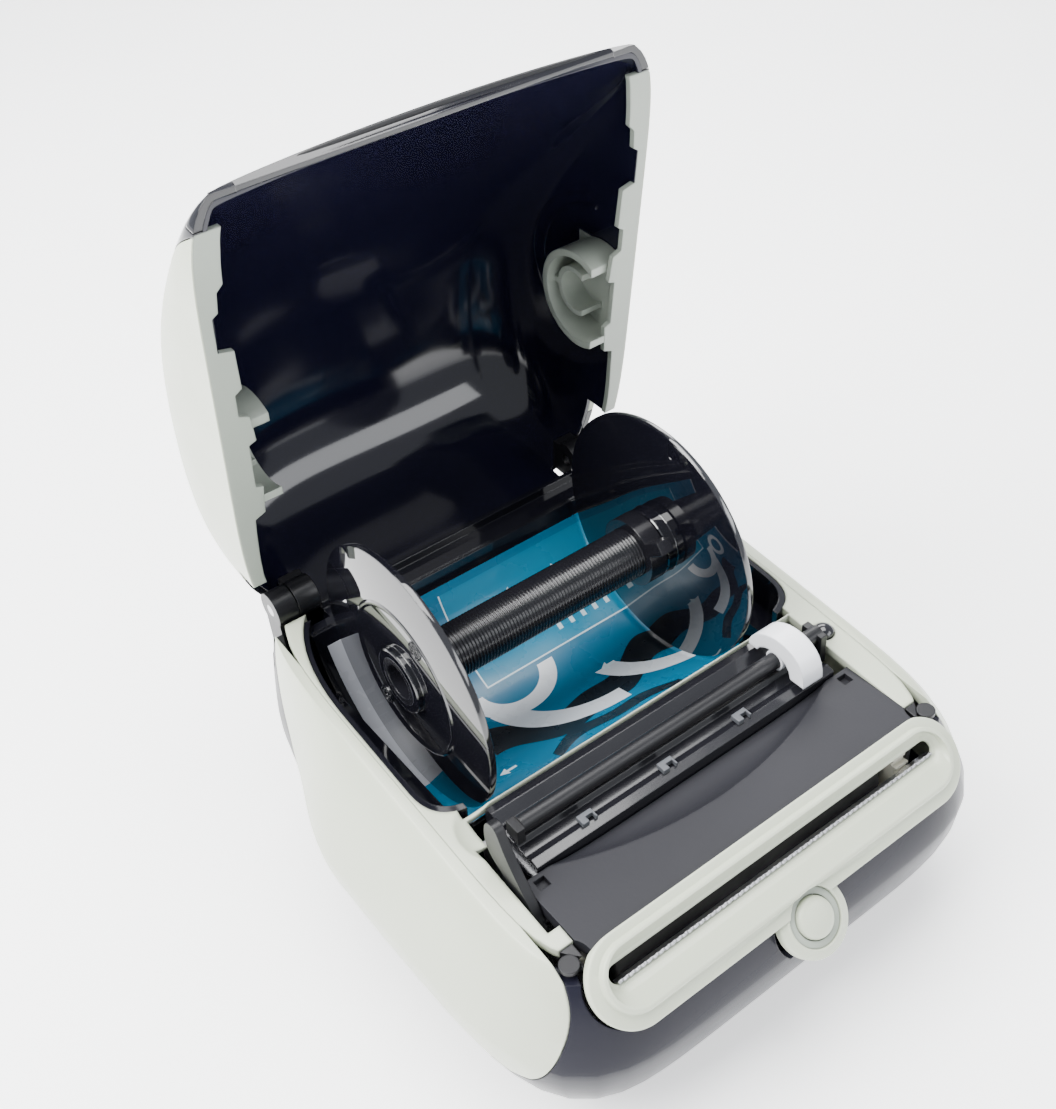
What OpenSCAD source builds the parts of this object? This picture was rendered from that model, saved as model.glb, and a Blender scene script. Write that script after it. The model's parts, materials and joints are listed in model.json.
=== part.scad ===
// Desktop label maker with a hinged lid, shown with the lid open and a bare label spool in its well.
// X runs to the right, Y to the rear and Z up; the origin is on the table under the middle of the open object.

/* [Body] */
// Half width of the body at the parting line
rim_half_w = 74.3; // [73:0.1:75]
// Height of the parting line at the front of the base
rim_front_z = 68.5; // [68:0.1:69]
// Rise of the parting line for each mm towards the rear
rim_slope = 0.095; // [0.09:0.005:0.1]
// How far the base bulges out at its widest place
bulge = 17.3; // [16:0.1:18]
// Height of the widest part of the base at the front
waist_z = 39; // [38:0.5:42]
// Height of the closed lid above the table
lid_top_z = 143.5; // [143.5:0.5:145]
// Wall thickness of the outer shells
wall = 2.4; // [2:0.1:2.6]

/* [Lid hinge] */
// Hinge axis, distance behind the middle of the base
hinge_y = 75; // [74.5:0.1:75.5]
// Hinge axis, height above the table
hinge_z = 84; // [83.8:0.1:84.5]
// Angle that the lid turns from open to closed
lid_swing = 86; // [85:1:87]

/* [Spool] */
// Spool axis, distance behind the middle of the base
spool_y = 17.4; // [17:0.1:18]
// Spool axis, height above the table
spool_z = 89; // [88.5:0.1:89.5]
// Radius of the two flanges
flange_r = 42.9; // [42:0.1:43.5]
// Left flange, distance from the middle plane
flange_left_x = -52; // [-53:0.1:-51]
// Right flange at rest, distance from the middle plane
flange_right_x = 44; // [40:0.1:45]
// Radius of the spindle
spindle_r = 8.4; // [8:0.1:9]
// Radius of the well floor under the spool
floor_r = 45.6; // [45.4:0.1:46]

/* [Label feed] */
// Half width of the front deck
deck_half_w = 62; // [61.5:0.1:62.5]
// Height of the front deck
deck_z = 69; // [68.9:0.1:69.2]
// Half length of the label slot
slot_half_w = 59; // [58:0.1:59.5]
// Height of the slot above the table
slot_z = 64; // [63.8:0.1:64.2]
// Radius of the platen rubber
platen_r = 7; // [6.8:0.1:7]
// Running clearance of pins and shafts in their bores
fit = 0.05; // [0.03:0.01:0.08]

/* [Hidden] */
$fn = 64;

// Colours
cream = [0.88, 0.89, 0.84];
gloss_black = [0.03, 0.03, 0.04];
soft_black = [0.10, 0.10, 0.12];
deck_grey = [0.30, 0.30, 0.33];
pale_grey = [0.74, 0.76, 0.74];
steel = [0.70, 0.71, 0.73];
board_green = [0.10, 0.36, 0.22];
label_teal = [0.02, 0.55, 0.68];
smoke = [0.16, 0.17, 0.19];

// Outline of the body in plan
plan_mid_y = 4;
base_front_y = -84;
lid_front_y = -75;
lid_front_z = 72;
lid_plan_y = -80;
lid_half_w = 73.6;
lid_bow = 2.2;
arch_steps = 26;
arch_power = 4.4;
plan_rear_y = 88;
front_power = 8;
rear_power = 5;
plan_steps = 48;
profile_steps = 6;
lid_steps = 17;
base_floor_z = 2.5;
bottom_inset = 13;
shoulder_wall = 3;
rear_bulge = 5.1;
bulge_y = 10;
waist_slope = 0.035;
rear_cut_y = 68.5;
rear_deck_z = 67;
gap = 0.3;
leaf_x = 70.5;
eject_x = 65.7;
eps = 0.01;
part_gap = 0.5;
open_mid_y = 11.8;
hollow_drop = 2;

function rim_z(y) = rim_front_z + rim_slope * (y + 70);
function power(v, p) = sign(v) * pow(abs(v), p);
function bezier_point(a, b, c, d, t) =
  let (s = 1 - t) s * s * s * a + 3 * s * s * t * b + 3 * s * t * t * c + t * t * t * d;
function bezier(a, b, c, d, steps) = [for (i = [0:steps]) bezier_point(a, b, c, d, i / steps)];

// One point of the plan outline at angle f, moved in by inset
function plan_point(f, front_y, inset = 0) =
  let (front = sin(f) < 0, n = front ? front_power : rear_power)
  let (half_l = (front ? plan_mid_y - front_y : plan_rear_y - plan_mid_y) - inset)
  [(rim_half_w - inset) * power(cos(f), 2 / n), plan_mid_y + half_l * power(sin(f), 2 / n)];

function plan_outline(front_y, inset = 0) =
  [for (i = [0:plan_steps - 1]) plan_point(360 * i / plan_steps, front_y, inset)];

// Outward direction of the outline at angle f
function plan_normal(f, front_y) =
  let (a = plan_point(f - 0.5, front_y), b = plan_point(f + 0.5, front_y), d = b - a)
  [d[1], -d[0]] / norm(d);

// The bulge is full at bulge_y, a little less at the front and fades to rear_bulge behind
function bulge_at(y) = y < bulge_y ? bulge - 0.00047 * pow(y - bulge_y, 2)
  : rear_bulge + (bulge - rear_bulge) * (0.5 + 0.5 * cos(min(3.6 * (y - bulge_y), 180)));

// Closed solid through a list of rings with the same number of points
module loft(rings) {
  n = len(rings[0]);
  last = len(rings) - 1;
  points = [for (ring = rings) each ring];
  sides = [
    for (j = [0:last - 1]) for (i = [0:n - 1]) let (k = (i + 1) % n)
      each [[j * n + i, (j + 1) * n + i, (j + 1) * n + k], [j * n + i, (j + 1) * n + k, j * n + k]]
  ];
  bottom = [[for (i = [0:n - 1]) i]];
  top = [[for (i = [n - 1:-1:0]) last * n + i]];
  polyhedron(points = points, faces = concat(sides, bottom, top), convexity = 8);
}

// Ring of the base at profile position s: -1 floor, 0 widest, 1 parting line
function base_ring(s, inset, lift) = [
  for (i = [0:plan_steps - 1])
    let (f = 360 * i / plan_steps, p = plan_point(f, base_front_y), m = plan_normal(f, base_front_y))
    let (a = 90 * abs(s), low = s < 0, power_n = low ? 1.92 : 1.25, full = bulge_at(p[1]))
    let (c = pow(cos(a), 2 / power_n), d = pow(sin(a), 2 / power_n))
    let (out = low ? (full + bottom_inset) * c - bottom_inset : full * c)
    let (waist = waist_z + waist_slope * (p[1] - base_front_y), top = rim_z(p[1]) + lift)
    let (z = low ? waist + (base_floor_z + inset - waist) * d : waist + (top - waist) * d)
    [p[0] + m[0] * (out - inset), p[1] + m[1] * (out - inset), z]
];

module base_solid(inset = 0, lift = 0) {
  loft([for (j = [-profile_steps:profile_steps]) base_ring(j / profile_steps, inset, lift)]);
}

// Side profile of the closed lid from its front edge (t = 0) over the top (t = 1) to the rear (t = 2)
function lid_profile(t) = t < 1
  ? bezier_point([lid_front_y, lid_front_z], [-48, 99], [-21, 140.5], [22, lid_top_z - 0.7], t)
  : bezier_point([22, lid_top_z - 0.7], [52, lid_top_z + 1.4], [plan_rear_y, lid_top_z - 3.5],
      [plan_rear_y, 84.5], t - 1);

// Profile point moved in by inset, square to the profile
function lid_spine(t, inset) =
  let (d = lid_profile(t + 0.002) - lid_profile(t - 0.002))
  lid_profile(t) + inset * [d[1], -d[0]] / norm(d);

function lid_half(y) =
  let (front = y < plan_mid_y, full = front ? front_power : rear_power)
  let (u = min(abs(y - plan_mid_y) / (front ? plan_mid_y - lid_plan_y : plan_rear_y - plan_mid_y), 0.9999))
  lid_half_w * pow(1 - pow(u, full), 1 / full);

// Arch of the closed lid across X at t; drop carries the ends of a hollow below the parting line
function lid_ring(t, inset, drop) =
  let (p = lid_spine(t, inset), w = lid_half(p[0]) - inset, low = rim_z(p[0]) + part_gap)
  let (h = max(p[1] - low, 0.3), bow = lid_bow * pow(max(1 - t, 0), 3))
  [for (i = [0:arch_steps])
    let (a = 180 - 180 * i / arch_steps, x = power(cos(a), 2 / arch_power))
    [w * x, p[0] - bow * (1 - x * x), low - (i % arch_steps == 0 ? drop : 0) + h * pow(sin(a), 2 / arch_power)]];

module lid_solid(inset = 0, drop = 0) {
  loft([for (j = [0:lid_steps]) lid_ring(1.97 * j / lid_steps, inset, drop)]);
}

// Side region of a shell: a leaf in the Y-Z plane, drawn through in X
module side_leaf(points, x0, x1) {
  translate([x0, 0, 0])
    rotate([90, 0, 90])
      linear_extrude(height = x1 - x0)
        polygon(points);
}

function base_leaf(grow) = concat(
  bezier([-70.5 - grow, 71], [-90 - grow, 60], [-88 - grow, 24 - grow], [-64, 22.5 - grow], 12),
  bezier([-64, 22.5 - grow], [-8, 17 - grow], [62 + grow, 8 - grow], [66.5 + grow, 84], 16)
);

function lid_leaf(grow) = concat(
  bezier([-67 - grow, 67], [-56 - grow, 92 + grow], [-14, 124 + grow], [30, 124 + grow], 14),
  bezier([30, 124 + grow], [58, 124 + grow], [66 + grow, 104], [66 + grow, 84], 10),
  [[66 + grow, 81]]
);

// Half space below or above the sloping parting line, shifted by lift
module below_rim(lift = 0) {
  side_leaf([[-130, -10], [130, -10], [130, rim_z(130) + lift], [-130, rim_z(-130) + lift]], -120, 120);
}

module above_rim(lift = 0) {
  side_leaf([[-130, 200], [130, 200], [130, rim_z(130) + lift], [-130, rim_z(-130) + lift]], -120, 120);
}

// Turns the closed lid's geometry to its open rest position
module opened() {
  translate([0, hinge_y, hinge_z])
    rotate([-lid_swing, 0, 0])
      translate([0, -hinge_y, -hinge_z])
        children();
}

// Moves the base's own coordinates so that the open object's middle stands on the origin
module to_origin() {
  translate([0, -open_mid_y, 0]) children();
}

module mirrored_x() {
  children();
  mirror([1, 0, 0]) children();
}

module rod_x(r, x0, x1, y, z) {
  translate([x0, y, z])
    rotate([0, 90, 0])
      cylinder(r = r, h = x1 - x0);
}

module box(x0, x1, y0, y1, z0, z1) {
  translate([x0, y0, z0])
    cube([x1 - x0, y1 - y0, z1 - z0]);
}

// ---- Base housing ----

bezel_top_y = -77.8;
bezel_top_z = 72.7;
bezel_low_y = -96;
bezel_low_z = 53.5;
bezel_half_w = 68;
face_angle = atan2(bezel_top_z - bezel_low_z, bezel_top_y - bezel_low_y);
face_len = norm([bezel_top_y - bezel_low_y, bezel_top_z - bezel_low_z]);
button_y = -97.3;
button_z = 49.8;
button_r = 6;
corner_y = -71.5;

module base_hollow() {
  difference() {
    base_solid();
    base_solid(wall, -shoulder_wall);
  }
}

// The same ring, open above the shoulder for the well and the deck
module base_shell() {
  difference() {
    base_hollow();
    translate([0, 0, 62]) linear_extrude(height = 40) polygon(plan_outline(base_front_y, wall + 0.5));
  }
}

module rear_cut() {
  box(-120, 120, rear_cut_y, 120, rear_deck_z, 120);
}

// Places children on the sloping front face: X along the slot, Y up the face, Z out of it
module on_face(y, z) {
  translate([0, y, z])
    rotate([face_angle, 0, 0])
      children();
}

module stadium(half_w, half_h, h) {
  linear_extrude(height = h)
    hull() {
      translate([-half_w + half_h, 0]) circle(r = half_h, $fn = 40);
      translate([half_w - half_h, 0]) circle(r = half_h, $fn = 40);
    }
}

face_mid_y = (bezel_top_y + bezel_low_y) / 2;
face_mid_z = (bezel_top_z + bezel_low_z) / 2;

module bezel_space(grow = 0) {
  on_face(face_mid_y, face_mid_z)
    translate([0, 0, -9])
      stadium(bezel_half_w + grow, face_len / 2 + grow, 24);
  on_face(button_y, button_z)
    translate([0, 0, -9])
      cylinder(r = 11.5 + grow, h = 24);
}

module lower_shell() {
  color(soft_black) to_origin()
    difference() {
      intersection() {
        base_shell();
        box(-120, 120, -61.2, 120, 0, 120);
        below_rim(-3);
      }
      mirrored_x() side_leaf(base_leaf(gap), leaf_x - gap, 120);
      mirrored_x() box(59.5, 67.5, 66, 82, 59.9, 70);
      rear_cut();
      box(-120, 120, -120, 120, 0, 5.2);
      box(-6.5, 6.5, 80, 100, 11, 23.2);
      box(24.9, 37.1, 80, 100, 11, 23.8);
    }
}

module front_bumper() {
  color([0.17, 0.18, 0.22]) to_origin()
    difference() {
      intersection() {
        base_hollow();
        box(-120, 120, -120, -61.5, 6.6, 68);
      }
      mirrored_x() side_leaf(base_leaf(gap), leaf_x - gap, 120);
      mirrored_x() translate([67.1, -76, 50]) cylinder(r = 1.8, h = 30);
      bezel_space(gap);
      box(-64.5, 64.5, -90, -50, 60, 100);
      box(-120, 120, -84, -50, 64.5, 100);
    }
}

module side_panel(side) {
  mirror([side < 0 ? 1 : 0, 0, 0])
    intersection() {
      base_shell();
      side_leaf(base_leaf(0), leaf_x, 120);
      below_rim(-0.05);
      box(0, 120, -120, 67.5, 0, 120);
    }
}

module side_panel_left() {
  color(cream) to_origin() side_panel(-1);
}

module side_panel_right() {
  color(cream) to_origin() side_panel(1);
}

// Opening of the label well in plan
function well_outline(grow) =
  let (w = 70.4 + grow, front = -22 - grow, corner = 14)
  concat(
    [[-54 - grow, 72 + grow]],
    bezier([-54 - grow, 72 + grow], [-64 - grow, 66], [-w, 50], [-w, 26], 8),
    bezier([-w, -8], [-w, front + 4], [-w + 5, front], [-w + corner, front], 8),
    bezier([w - corner, front], [w - 5, front], [w, front + 4], [w, -8], 8),
    bezier([w, 26], [w, 50], [64 + grow, 66], [54 + grow, 72 + grow], 8)
  );

module upper_housing() {
  lever_slot_x = -63.5;
  color(cream) to_origin()
    difference() {
      intersection() {
        linear_extrude(height = 120) polygon(plan_outline(base_front_y, wall + 0.6));
        below_rim(0);
        above_rim(-3);
        box(-120, 120, corner_y, rear_cut_y, 0, 120);
      }
      linear_extrude(height = 120) polygon(well_outline(0));
      rod_x(flange_r + 1.6, -63, 63, spool_y, spool_z);
      box(-deck_half_w - gap, deck_half_w + gap, -90, -40, 40, 120);
      box(-deck_half_w - gap, deck_half_w + gap, -41, -24.5, 40, 120);
      box(lever_slot_x - 2.6, lever_slot_x + 3, -66, -34, 40, 120);
      translate([eject_x, -36, 40]) cylinder(r = 3.6, h = 60);
    }
}

module bottom_cover() {
  color(soft_black) to_origin()
    difference() {
      translate([0, 0, base_floor_z])
        linear_extrude(height = 2.4) polygon(plan_outline(base_front_y, bottom_inset + 0.5));
      for (x = [-40, 40]) for (y = [-62, 66]) translate([x, y, 0]) cylinder(r = 2, h = 20);
      for (i = [-5:5]) box(i * 9 - 2, i * 9 + 2, 20, 60, 0, 20);
    }
}

foot_xs = [-51, 51];
foot_ys = [-58, 61];

module rubber_feet() {
  color([0.08, 0.08, 0.08]) to_origin()
    for (x = foot_xs) for (y = foot_ys)
      translate([x, y, 0])
        cylinder(r = 7, h = base_floor_z);
}

module base_screws() {
  color(steel) to_origin()
    for (x = [-40, 40]) for (y = [-62, 66])
      translate([x, y, base_floor_z - 1.2]) {
        cylinder(r = 3, h = 1.2);
        cylinder(r = 1.5, h = 8.4);
      }
}

module label_well() {
  color(gloss_black) to_origin()
    difference() {
      union() {
        intersection() {
          linear_extrude(height = 120) polygon(well_outline(-0.1));
          below_rim(-0.4);
          box(-120, 120, -24, 72, 58, 120);
        }
        intersection() {
          rod_x(floor_r + 2, -62, 62, spool_y, spool_z);
          box(-62, 62, -24, 72, 0, 60);
        }
      }
      difference() {
        linear_extrude(height = 120) polygon(well_outline(-1.8));
        box(-120, 120, -50, 100, 0, 60);
        box(-120, 120, 62.5, 100, 0, 78.5);
        difference() {
          box(-60.5, 60.5, spool_y, 63, 0, 78);
          rod_x(floor_r, -100, 100, spool_y, spool_z);
        }
      }
      rod_x(floor_r, -60, 60, spool_y, spool_z);
      box(-56, 56, -30, -19, 71.4, 100);
      mirrored_x() box(51.5, 80, 66, 80, 66, 100);
    }
}

label_rear_angle = 69.4;
label_front_angle = -52;
label_half_w = 57;

module reference_label() {
  color(label_teal) to_origin()
    translate([-label_half_w, spool_y, spool_z])
      rotate([90, 0, 90])
        linear_extrude(height = 2 * label_half_w)
          polygon(concat(
            [for (i = [0:40]) let (a = label_front_angle + (label_rear_angle - label_front_angle) * i / 40)
              (floor_r - 0.02) * [sin(a), -cos(a)]],
            [for (i = [40:-1:0]) let (a = label_front_angle + (label_rear_angle - label_front_angle) * i / 40)
              (floor_r - 0.32) * [sin(a), -cos(a)]]
          ));
}

// ---- Front deck and label feed ----

scoop_r = 123;

module deck_cover() {
  color(deck_grey) to_origin()
    difference() {
      box(-deck_half_w, deck_half_w, -76.8, -49.5, deck_z - 2.2, deck_z);
      translate([0, -61.5 + scoop_r, deck_z - 0.9]) cylinder(r = scoop_r, h = 10, $fn = 180);
      mirrored_x() box(56, 59.5, -54.5, -51, 60, 80);
      mirrored_x() translate([67.1, -76, 60]) cylinder(r = 6.5, h = 20);
    }
}

module feed_plate() {
  color(soft_black) to_origin()
    difference() {
      union() {
        side_leaf([
          [-49.2, 66], [-49.2, 70.6], [-46.5, 71.4], [-44, 70.2], [-40.5, 70.6], [-39.5, 72.2], [-38.5, 70.8],
          [-34, 71.2], [-33, 72.8], [-32, 71.5], [-28.5, 73.6], [-25.8, 73.2], [-24.9, 70], [-24.9, 64],
          [-28, 62], [-44, 62]
        ], -56.5, 56.5);
      }
      box(-50, 50, -47, -27, 55, 68);
    }
}

clip_xs = [-36.5, -7.3, 21.5];

module guide_clips() {
  color([0.36, 0.37, 0.40]) to_origin()
    for (x = clip_xs)
      translate([x, -45.6, 72.2])
        difference() {
          cube([5, 3.4, 1.6], center = true);
          translate([0.8, -1, 0]) cube([2.4, 2.4, 4], center = true);
        }
}

module corner_caps() {
  color(soft_black) to_origin()
    mirrored_x()
      difference() {
        intersection() {
          linear_extrude(height = 120) polygon(plan_outline(base_front_y, wall + 0.6));
          below_rim(-0.3);
          box(62.8, 90, -84, corner_y - gap, 60, 80);
        }
        bezel_space(gap);
        translate([67.1, -76, 50]) cylinder(r = 2, h = 30);
        translate([67.1, -76, 66.6]) cylinder(r = 2.9, h = 5);
      }
}

module corner_screws() {
  color([0.14, 0.14, 0.16]) to_origin()
    mirrored_x()
      translate([67.1, -76, 58]) {
        cylinder(r = 1.7, h = 9);
        translate([0, 0, 8.6]) cylinder(r = 2.8, h = 1.4);
      }
}

module front_bezel() {
  color(cream) to_origin()
    difference() {
      union() {
        on_face(face_mid_y, face_mid_z)
          translate([0, 0, -2.5])
            stadium(bezel_half_w, face_len / 2, 2.5);
        on_face(face_mid_y + 2.2, face_mid_z + 2.4)
          translate([0, 0, -0.5])
            stadium(bezel_half_w - 4.5, face_len / 2 - 3.4, 3.2);
        on_face(button_y, button_z)
          translate([0, 0, -2.5])
            cylinder(r = 11.5, h = 3.4);
      }
      on_face(-84, slot_z)
        translate([0, 0, -12])
          stadium(slot_half_w + 1.5, 2.6, 30);
      on_face(-84, slot_z)
        translate([0, 0, 1.2])
          stadium(slot_half_w + 2.5, 3.6, 30);
      on_face(button_y, button_z)
        translate([0, 0, -12])
          cylinder(r = button_r + 2.4, h = 30);
      box(-100, 100, -77.6, -40, 40, 100);
    }
}

module tear_bar() {
  color(steel) to_origin()
    on_face(-84, slot_z)
      translate([-slot_half_w, -2.2, -2.4])
        difference() {
          cube([2 * slot_half_w, 0.8, 3.2]);
          for (i = [0:58]) translate([i * 2 + 0.6, -1, 2.8]) cube([0.9, 3, 1]);
        }
}

module button_ring() {
  color([0.45, 0.46, 0.48]) to_origin()
    on_face(button_y, button_z)
      translate([0, 0, -2.6])
        difference() {
          cylinder(r = button_r + 2.3, h = 3.0);
          translate([0, 0, -1]) cylinder(r = button_r + 0.3, h = 6);
        }
}

module feed_button() {
  color(cream) to_origin()
    on_face(button_y, button_z)
      translate([0, 0, -2.2]) {
        cylinder(r = button_r, h = 3.6);
        translate([0, 0, 3.6]) cylinder(r1 = button_r, r2 = button_r - 0.9, h = 0.9);
      }
}

module coil_spring(r, wire, length) {
  difference() {
    cylinder(r = r + wire / 2, h = length);
    translate([0, 0, -1]) cylinder(r = r - wire / 2, h = length + 2);
  }
}

module feed_button_spring() {
  color(steel) to_origin()
    on_face(button_y, button_z)
      translate([0, 0, -9.4]) coil_spring(3, 0.8, 7.2);
}

module eject_button() {
  color([0.06, 0.06, 0.07]) to_origin()
    translate([eject_x, -36, 0]) {
      translate([0, 0, rim_z(-36) - 1]) cylinder(r = 3.3, h = 1.8);
      translate([0, 0, rim_z(-36) + 0.8])
        intersection() {
          translate([0, 0, -2.2]) sphere(r = 4);
          cylinder(r = 3.3, h = 5);
        }
    }
}

module eject_button_spring() {
  color(steel) to_origin()
    translate([eject_x, -36, rim_z(-36) - 7.2]) coil_spring(2, 0.6, 6.2);
}

lever_x = -63.3;
lever_y = -56;
lever_z = 60;

module release_lever() {
  color(soft_black) to_origin()
    difference() {
      union() {
        side_leaf(concat(
          bezier([-60.5, 60], [-60, 70], [-50, 74], [-45, 87], 8),
          bezier([-45, 87], [-44, 90], [-40, 89.5], [-39, 86], 6),
          bezier([-39, 86], [-37.6, 80], [-38.4, 76], [-42, 73.5], 6),
          bezier([-42, 73.5], [-48, 70], [-51, 66], [-51.5, 60], 6)
        ), lever_x - 1.9, lever_x + 0.9);
        rod_x(5, lever_x - 1.9, lever_x + 0.9, lever_y, lever_z);
        rod_x(2.5, lever_x - 1, 56, lever_y, lever_z);
      }
    }
}

module guide_rail() {
  color(soft_black) to_origin() {
    rod_x(2.6, -54, 60.5, -38.2, 76.2);
    box(58, 60.5, -42, -34, 67, 78);
    box(-56.4, -54, -41, -35.5, 72.2, 77.5);
  }
}

module edge_guide() {
  color([0.85, 0.86, 0.87]) to_origin()
    difference() {
      union() {
        side_leaf(concat(
          bezier([-50.5, 73.4], [-50.5, 84], [-42, 86], [-36, 84.5], 10),
          bezier([-36, 84.5], [-29, 82.5], [-27, 78], [-27.4, 75.6], 8),
          [[-31, 75.6]],
          bezier([-31, 75.6], [-32, 80], [-44, 82], [-45, 73.4], 8)
        ), 42, 50);
        rod_x(3.4, 42, 50, -38.2, 76.2);
      }
      rod_x(2.6 + fit, 30, 60, -38.2, 76.2);
    }
}

// ---- Print mechanism ----

platen_y = -72;
platen_z = 54;
gear_x = 52;
teeth_platen = 24;
teeth_idler = 40;
teeth_pinion = 12;
gear_module = 0.8;
idler_y = -53;
idler_z = platen_z - sqrt(pow(gear_module * (teeth_platen + teeth_idler) / 2, 2) - pow(idler_y - platen_y, 2));
plate_x = 58;

module chassis() {
  color(steel) to_origin()
    difference() {
      union() {
        box(-plate_x - 1.2, plate_x + 1.2, -78.5, -26, 10, 11.4);
        mirrored_x() box(plate_x, plate_x + 1.2, -78.5, -26, 10, 61);
        box(-plate_x - 1.2, plate_x + 1.2, -27.2, -26, 10, 58);
      }
      rod_x(4, -90, 90, platen_y, platen_z);
      rod_x(2.5 + fit, -90, 55.9, lever_y, lever_z);
      rod_x(2 + fit, 57, 90, idler_y, idler_z);
      box(-50, 50, -90, -30, 9, 12);
    }
}

module platen_shaft() {
  color(steel) to_origin()
    rod_x(3, -61, 61, platen_y, platen_z);
}

module platen_rubber() {
  color([0.13, 0.13, 0.13]) to_origin()
    difference() {
      rod_x(platen_r, -54, 45.5, platen_y, platen_z);
      rod_x(3, -60, 60, platen_y, platen_z);
    }
}

module platen_bushings() {
  color([0.85, 0.84, 0.80]) to_origin()
    mirrored_x()
      difference() {
        rod_x(4, plate_x - 0.6, plate_x + 2.2, platen_y, platen_z);
        rod_x(3 + fit, 40, 90, platen_y, platen_z);
      }
}

// Spur gear about X with straight tapered teeth
module spur_gear(teeth, x0, width, bore, turn = 0) {
  pitch_r = gear_module * teeth / 2;
  outer_r = pitch_r + gear_module * 0.85;
  root_r = pitch_r - gear_module * 1.1;
  step = 360 / teeth;
  translate([x0, 0, 0])
    rotate([90, 0, 90])
      linear_extrude(height = width)
        difference() {
          polygon([
            for (i = [0:teeth - 1]) let (a = i * step + turn)
              each [
                root_r * [cos(a - step * 0.29), sin(a - step * 0.29)],
                outer_r * [cos(a - step * 0.11), sin(a - step * 0.11)],
                outer_r * [cos(a + step * 0.11), sin(a + step * 0.11)],
                root_r * [cos(a + step * 0.29), sin(a + step * 0.29)]
              ]
          ]);
          circle(r = bore);
        }
}

// Angle from the platen to the idler, and from the idler to the pinion
mesh_a = atan2(idler_z - platen_z, idler_y - platen_y);
pinion_reach = gear_module * (teeth_idler + teeth_pinion) / 2;
pinion_a = -150;
pinion_y = idler_y + pinion_reach * cos(pinion_a);
pinion_z = idler_z + pinion_reach * sin(pinion_a);

module platen_gear() {
  color([0.90, 0.88, 0.80]) to_origin()
    translate([0, platen_y, platen_z])
      spur_gear(teeth_platen, gear_x - 2, 5, 3, mesh_a);
}

module idler_gear() {
  color([0.90, 0.88, 0.80]) to_origin()
    translate([0, idler_y, idler_z])
      spur_gear(teeth_idler, gear_x - 2, 5, 2 + fit, mesh_a + 180 + 180 / teeth_idler);
}

module idler_pin() {
  color(steel) to_origin()
    rod_x(2, gear_x - 3, plate_x + 1.2, idler_y, idler_z);
}

pinion_turn = pinion_a + 180 + 180 / teeth_pinion
  - ((mesh_a + 180 + 180 / teeth_idler) - pinion_a) * teeth_idler / teeth_pinion;

module motor_pinion() {
  color([0.80, 0.66, 0.32]) to_origin()
    translate([0, pinion_y, pinion_z]) {
      spur_gear(teeth_pinion, gear_x - 2.5, 6, 1.2, pinion_turn);
      rod_x(1.5, gear_x - 14, gear_x + 3.5, 0, 0);
    }
}

module stepper_motor() {
  color([0.55, 0.56, 0.58]) to_origin()
    difference() {
      union() {
        rod_x(13, gear_x - 26, gear_x - 6, pinion_y, pinion_z);
        box(gear_x - 7, gear_x - 6, pinion_y - 11, pinion_y + 14, 11.4, pinion_z + 12);
      }
      rod_x(1.5 + fit, gear_x - 14.5, gear_x + 10, pinion_y, pinion_z);
    }
}

module head_carrier() {
  color([0.62, 0.63, 0.65]) to_origin()
    difference() {
      union() {
        box(-54, 48.6, -77, -60, 63.2, 65);
        mirrored_x() box(46.6, 48.6, -65.2, -52, 58, 65);
        mirrored_x() rod_x(4.4, 46.6, 48.6, lever_y, lever_z);
      }
      rod_x(2.5 + fit, -90, 90, lever_y, lever_z);
    }
}

module print_head() {
  color([0.80, 0.76, 0.68]) to_origin()
    box(-54, 45.5, -76.5, -66, 61.4, 63.2);
}

module head_springs() {
  color(steel) to_origin()
    for (x = [-36, 28])
      translate([x, -69, 65.0]) coil_spring(2.6, 0.7, 1.6);
}

module label_sensor() {
  color(board_green) to_origin()
    box(-8, 8, -62, -58.5, 50, 58);
}

module main_board() {
  color(board_green) to_origin()
    difference() {
      union() {
        box(-58, 58, -18, 76, 10, 11.6);
        box(-30, -18, 20, 32, 11.6, 14);
        box(-48, -38, 40, 50, 11.6, 22);
        box(0, 16, 4, 20, 11.6, 13.4);
      }
      mirrored_x() box(53, 60, 73, 80, 0, 20);
      for (x = [-50, 50]) for (y = [-14, 69]) translate([x, y, 0]) cylinder(r = 1.6, h = 20);
    }
}

module flat_cable() {
  color([0.86, 0.86, 0.84]) to_origin()
    box(-24, -6, -25.4, -25, 12, 40);
}

module usb_port() {
  color(steel) to_origin()
    difference() {
      box(-6, 6, 74, 89, 11.6, 22.5);
      box(-4.4, 4.4, 80, 95, 13.4, 20.8);
    }
}

module power_jack() {
  color([0.08, 0.08, 0.08]) to_origin()
    difference() {
      box(25.5, 36.5, 74, 89, 11.6, 23);
      translate([31, 95, 17.4]) rotate([90, 0, 0]) cylinder(r = 2.8, h = 15);
    }
}

// ---- Lid hinge ----

knuckle_r = 6;
pin_r = 2;
base_knuckle_x = [60, 67];
lid_knuckle_x = [52, 59.6];

module hinge_knuckles() {
  color(soft_black) to_origin()
    mirrored_x()
      difference() {
        union() {
          rod_x(knuckle_r, base_knuckle_x[0], base_knuckle_x[1], hinge_y, hinge_z);
          box(base_knuckle_x[0], base_knuckle_x[1], hinge_y - 5, hinge_y + 4, 60, hinge_z);
        }
        rod_x(pin_r, 50, 90, hinge_y, hinge_z);
      }
}

module hinge_pins() {
  color(steel) to_origin()
    mirrored_x() rod_x(pin_r, lid_knuckle_x[0] + 1, base_knuckle_x[1], hinge_y, hinge_z);
}

// Space of one screw that joins a hinge arm to the lid
module lid_screw_space() {
  translate([57, 81.9, 0]) {
    translate([0, 0, hinge_z]) cylinder(r = 2.1, h = 1.4);
    translate([0, 0, hinge_z]) cylinder(r = 0.95, h = 13.1);
  }
}

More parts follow.
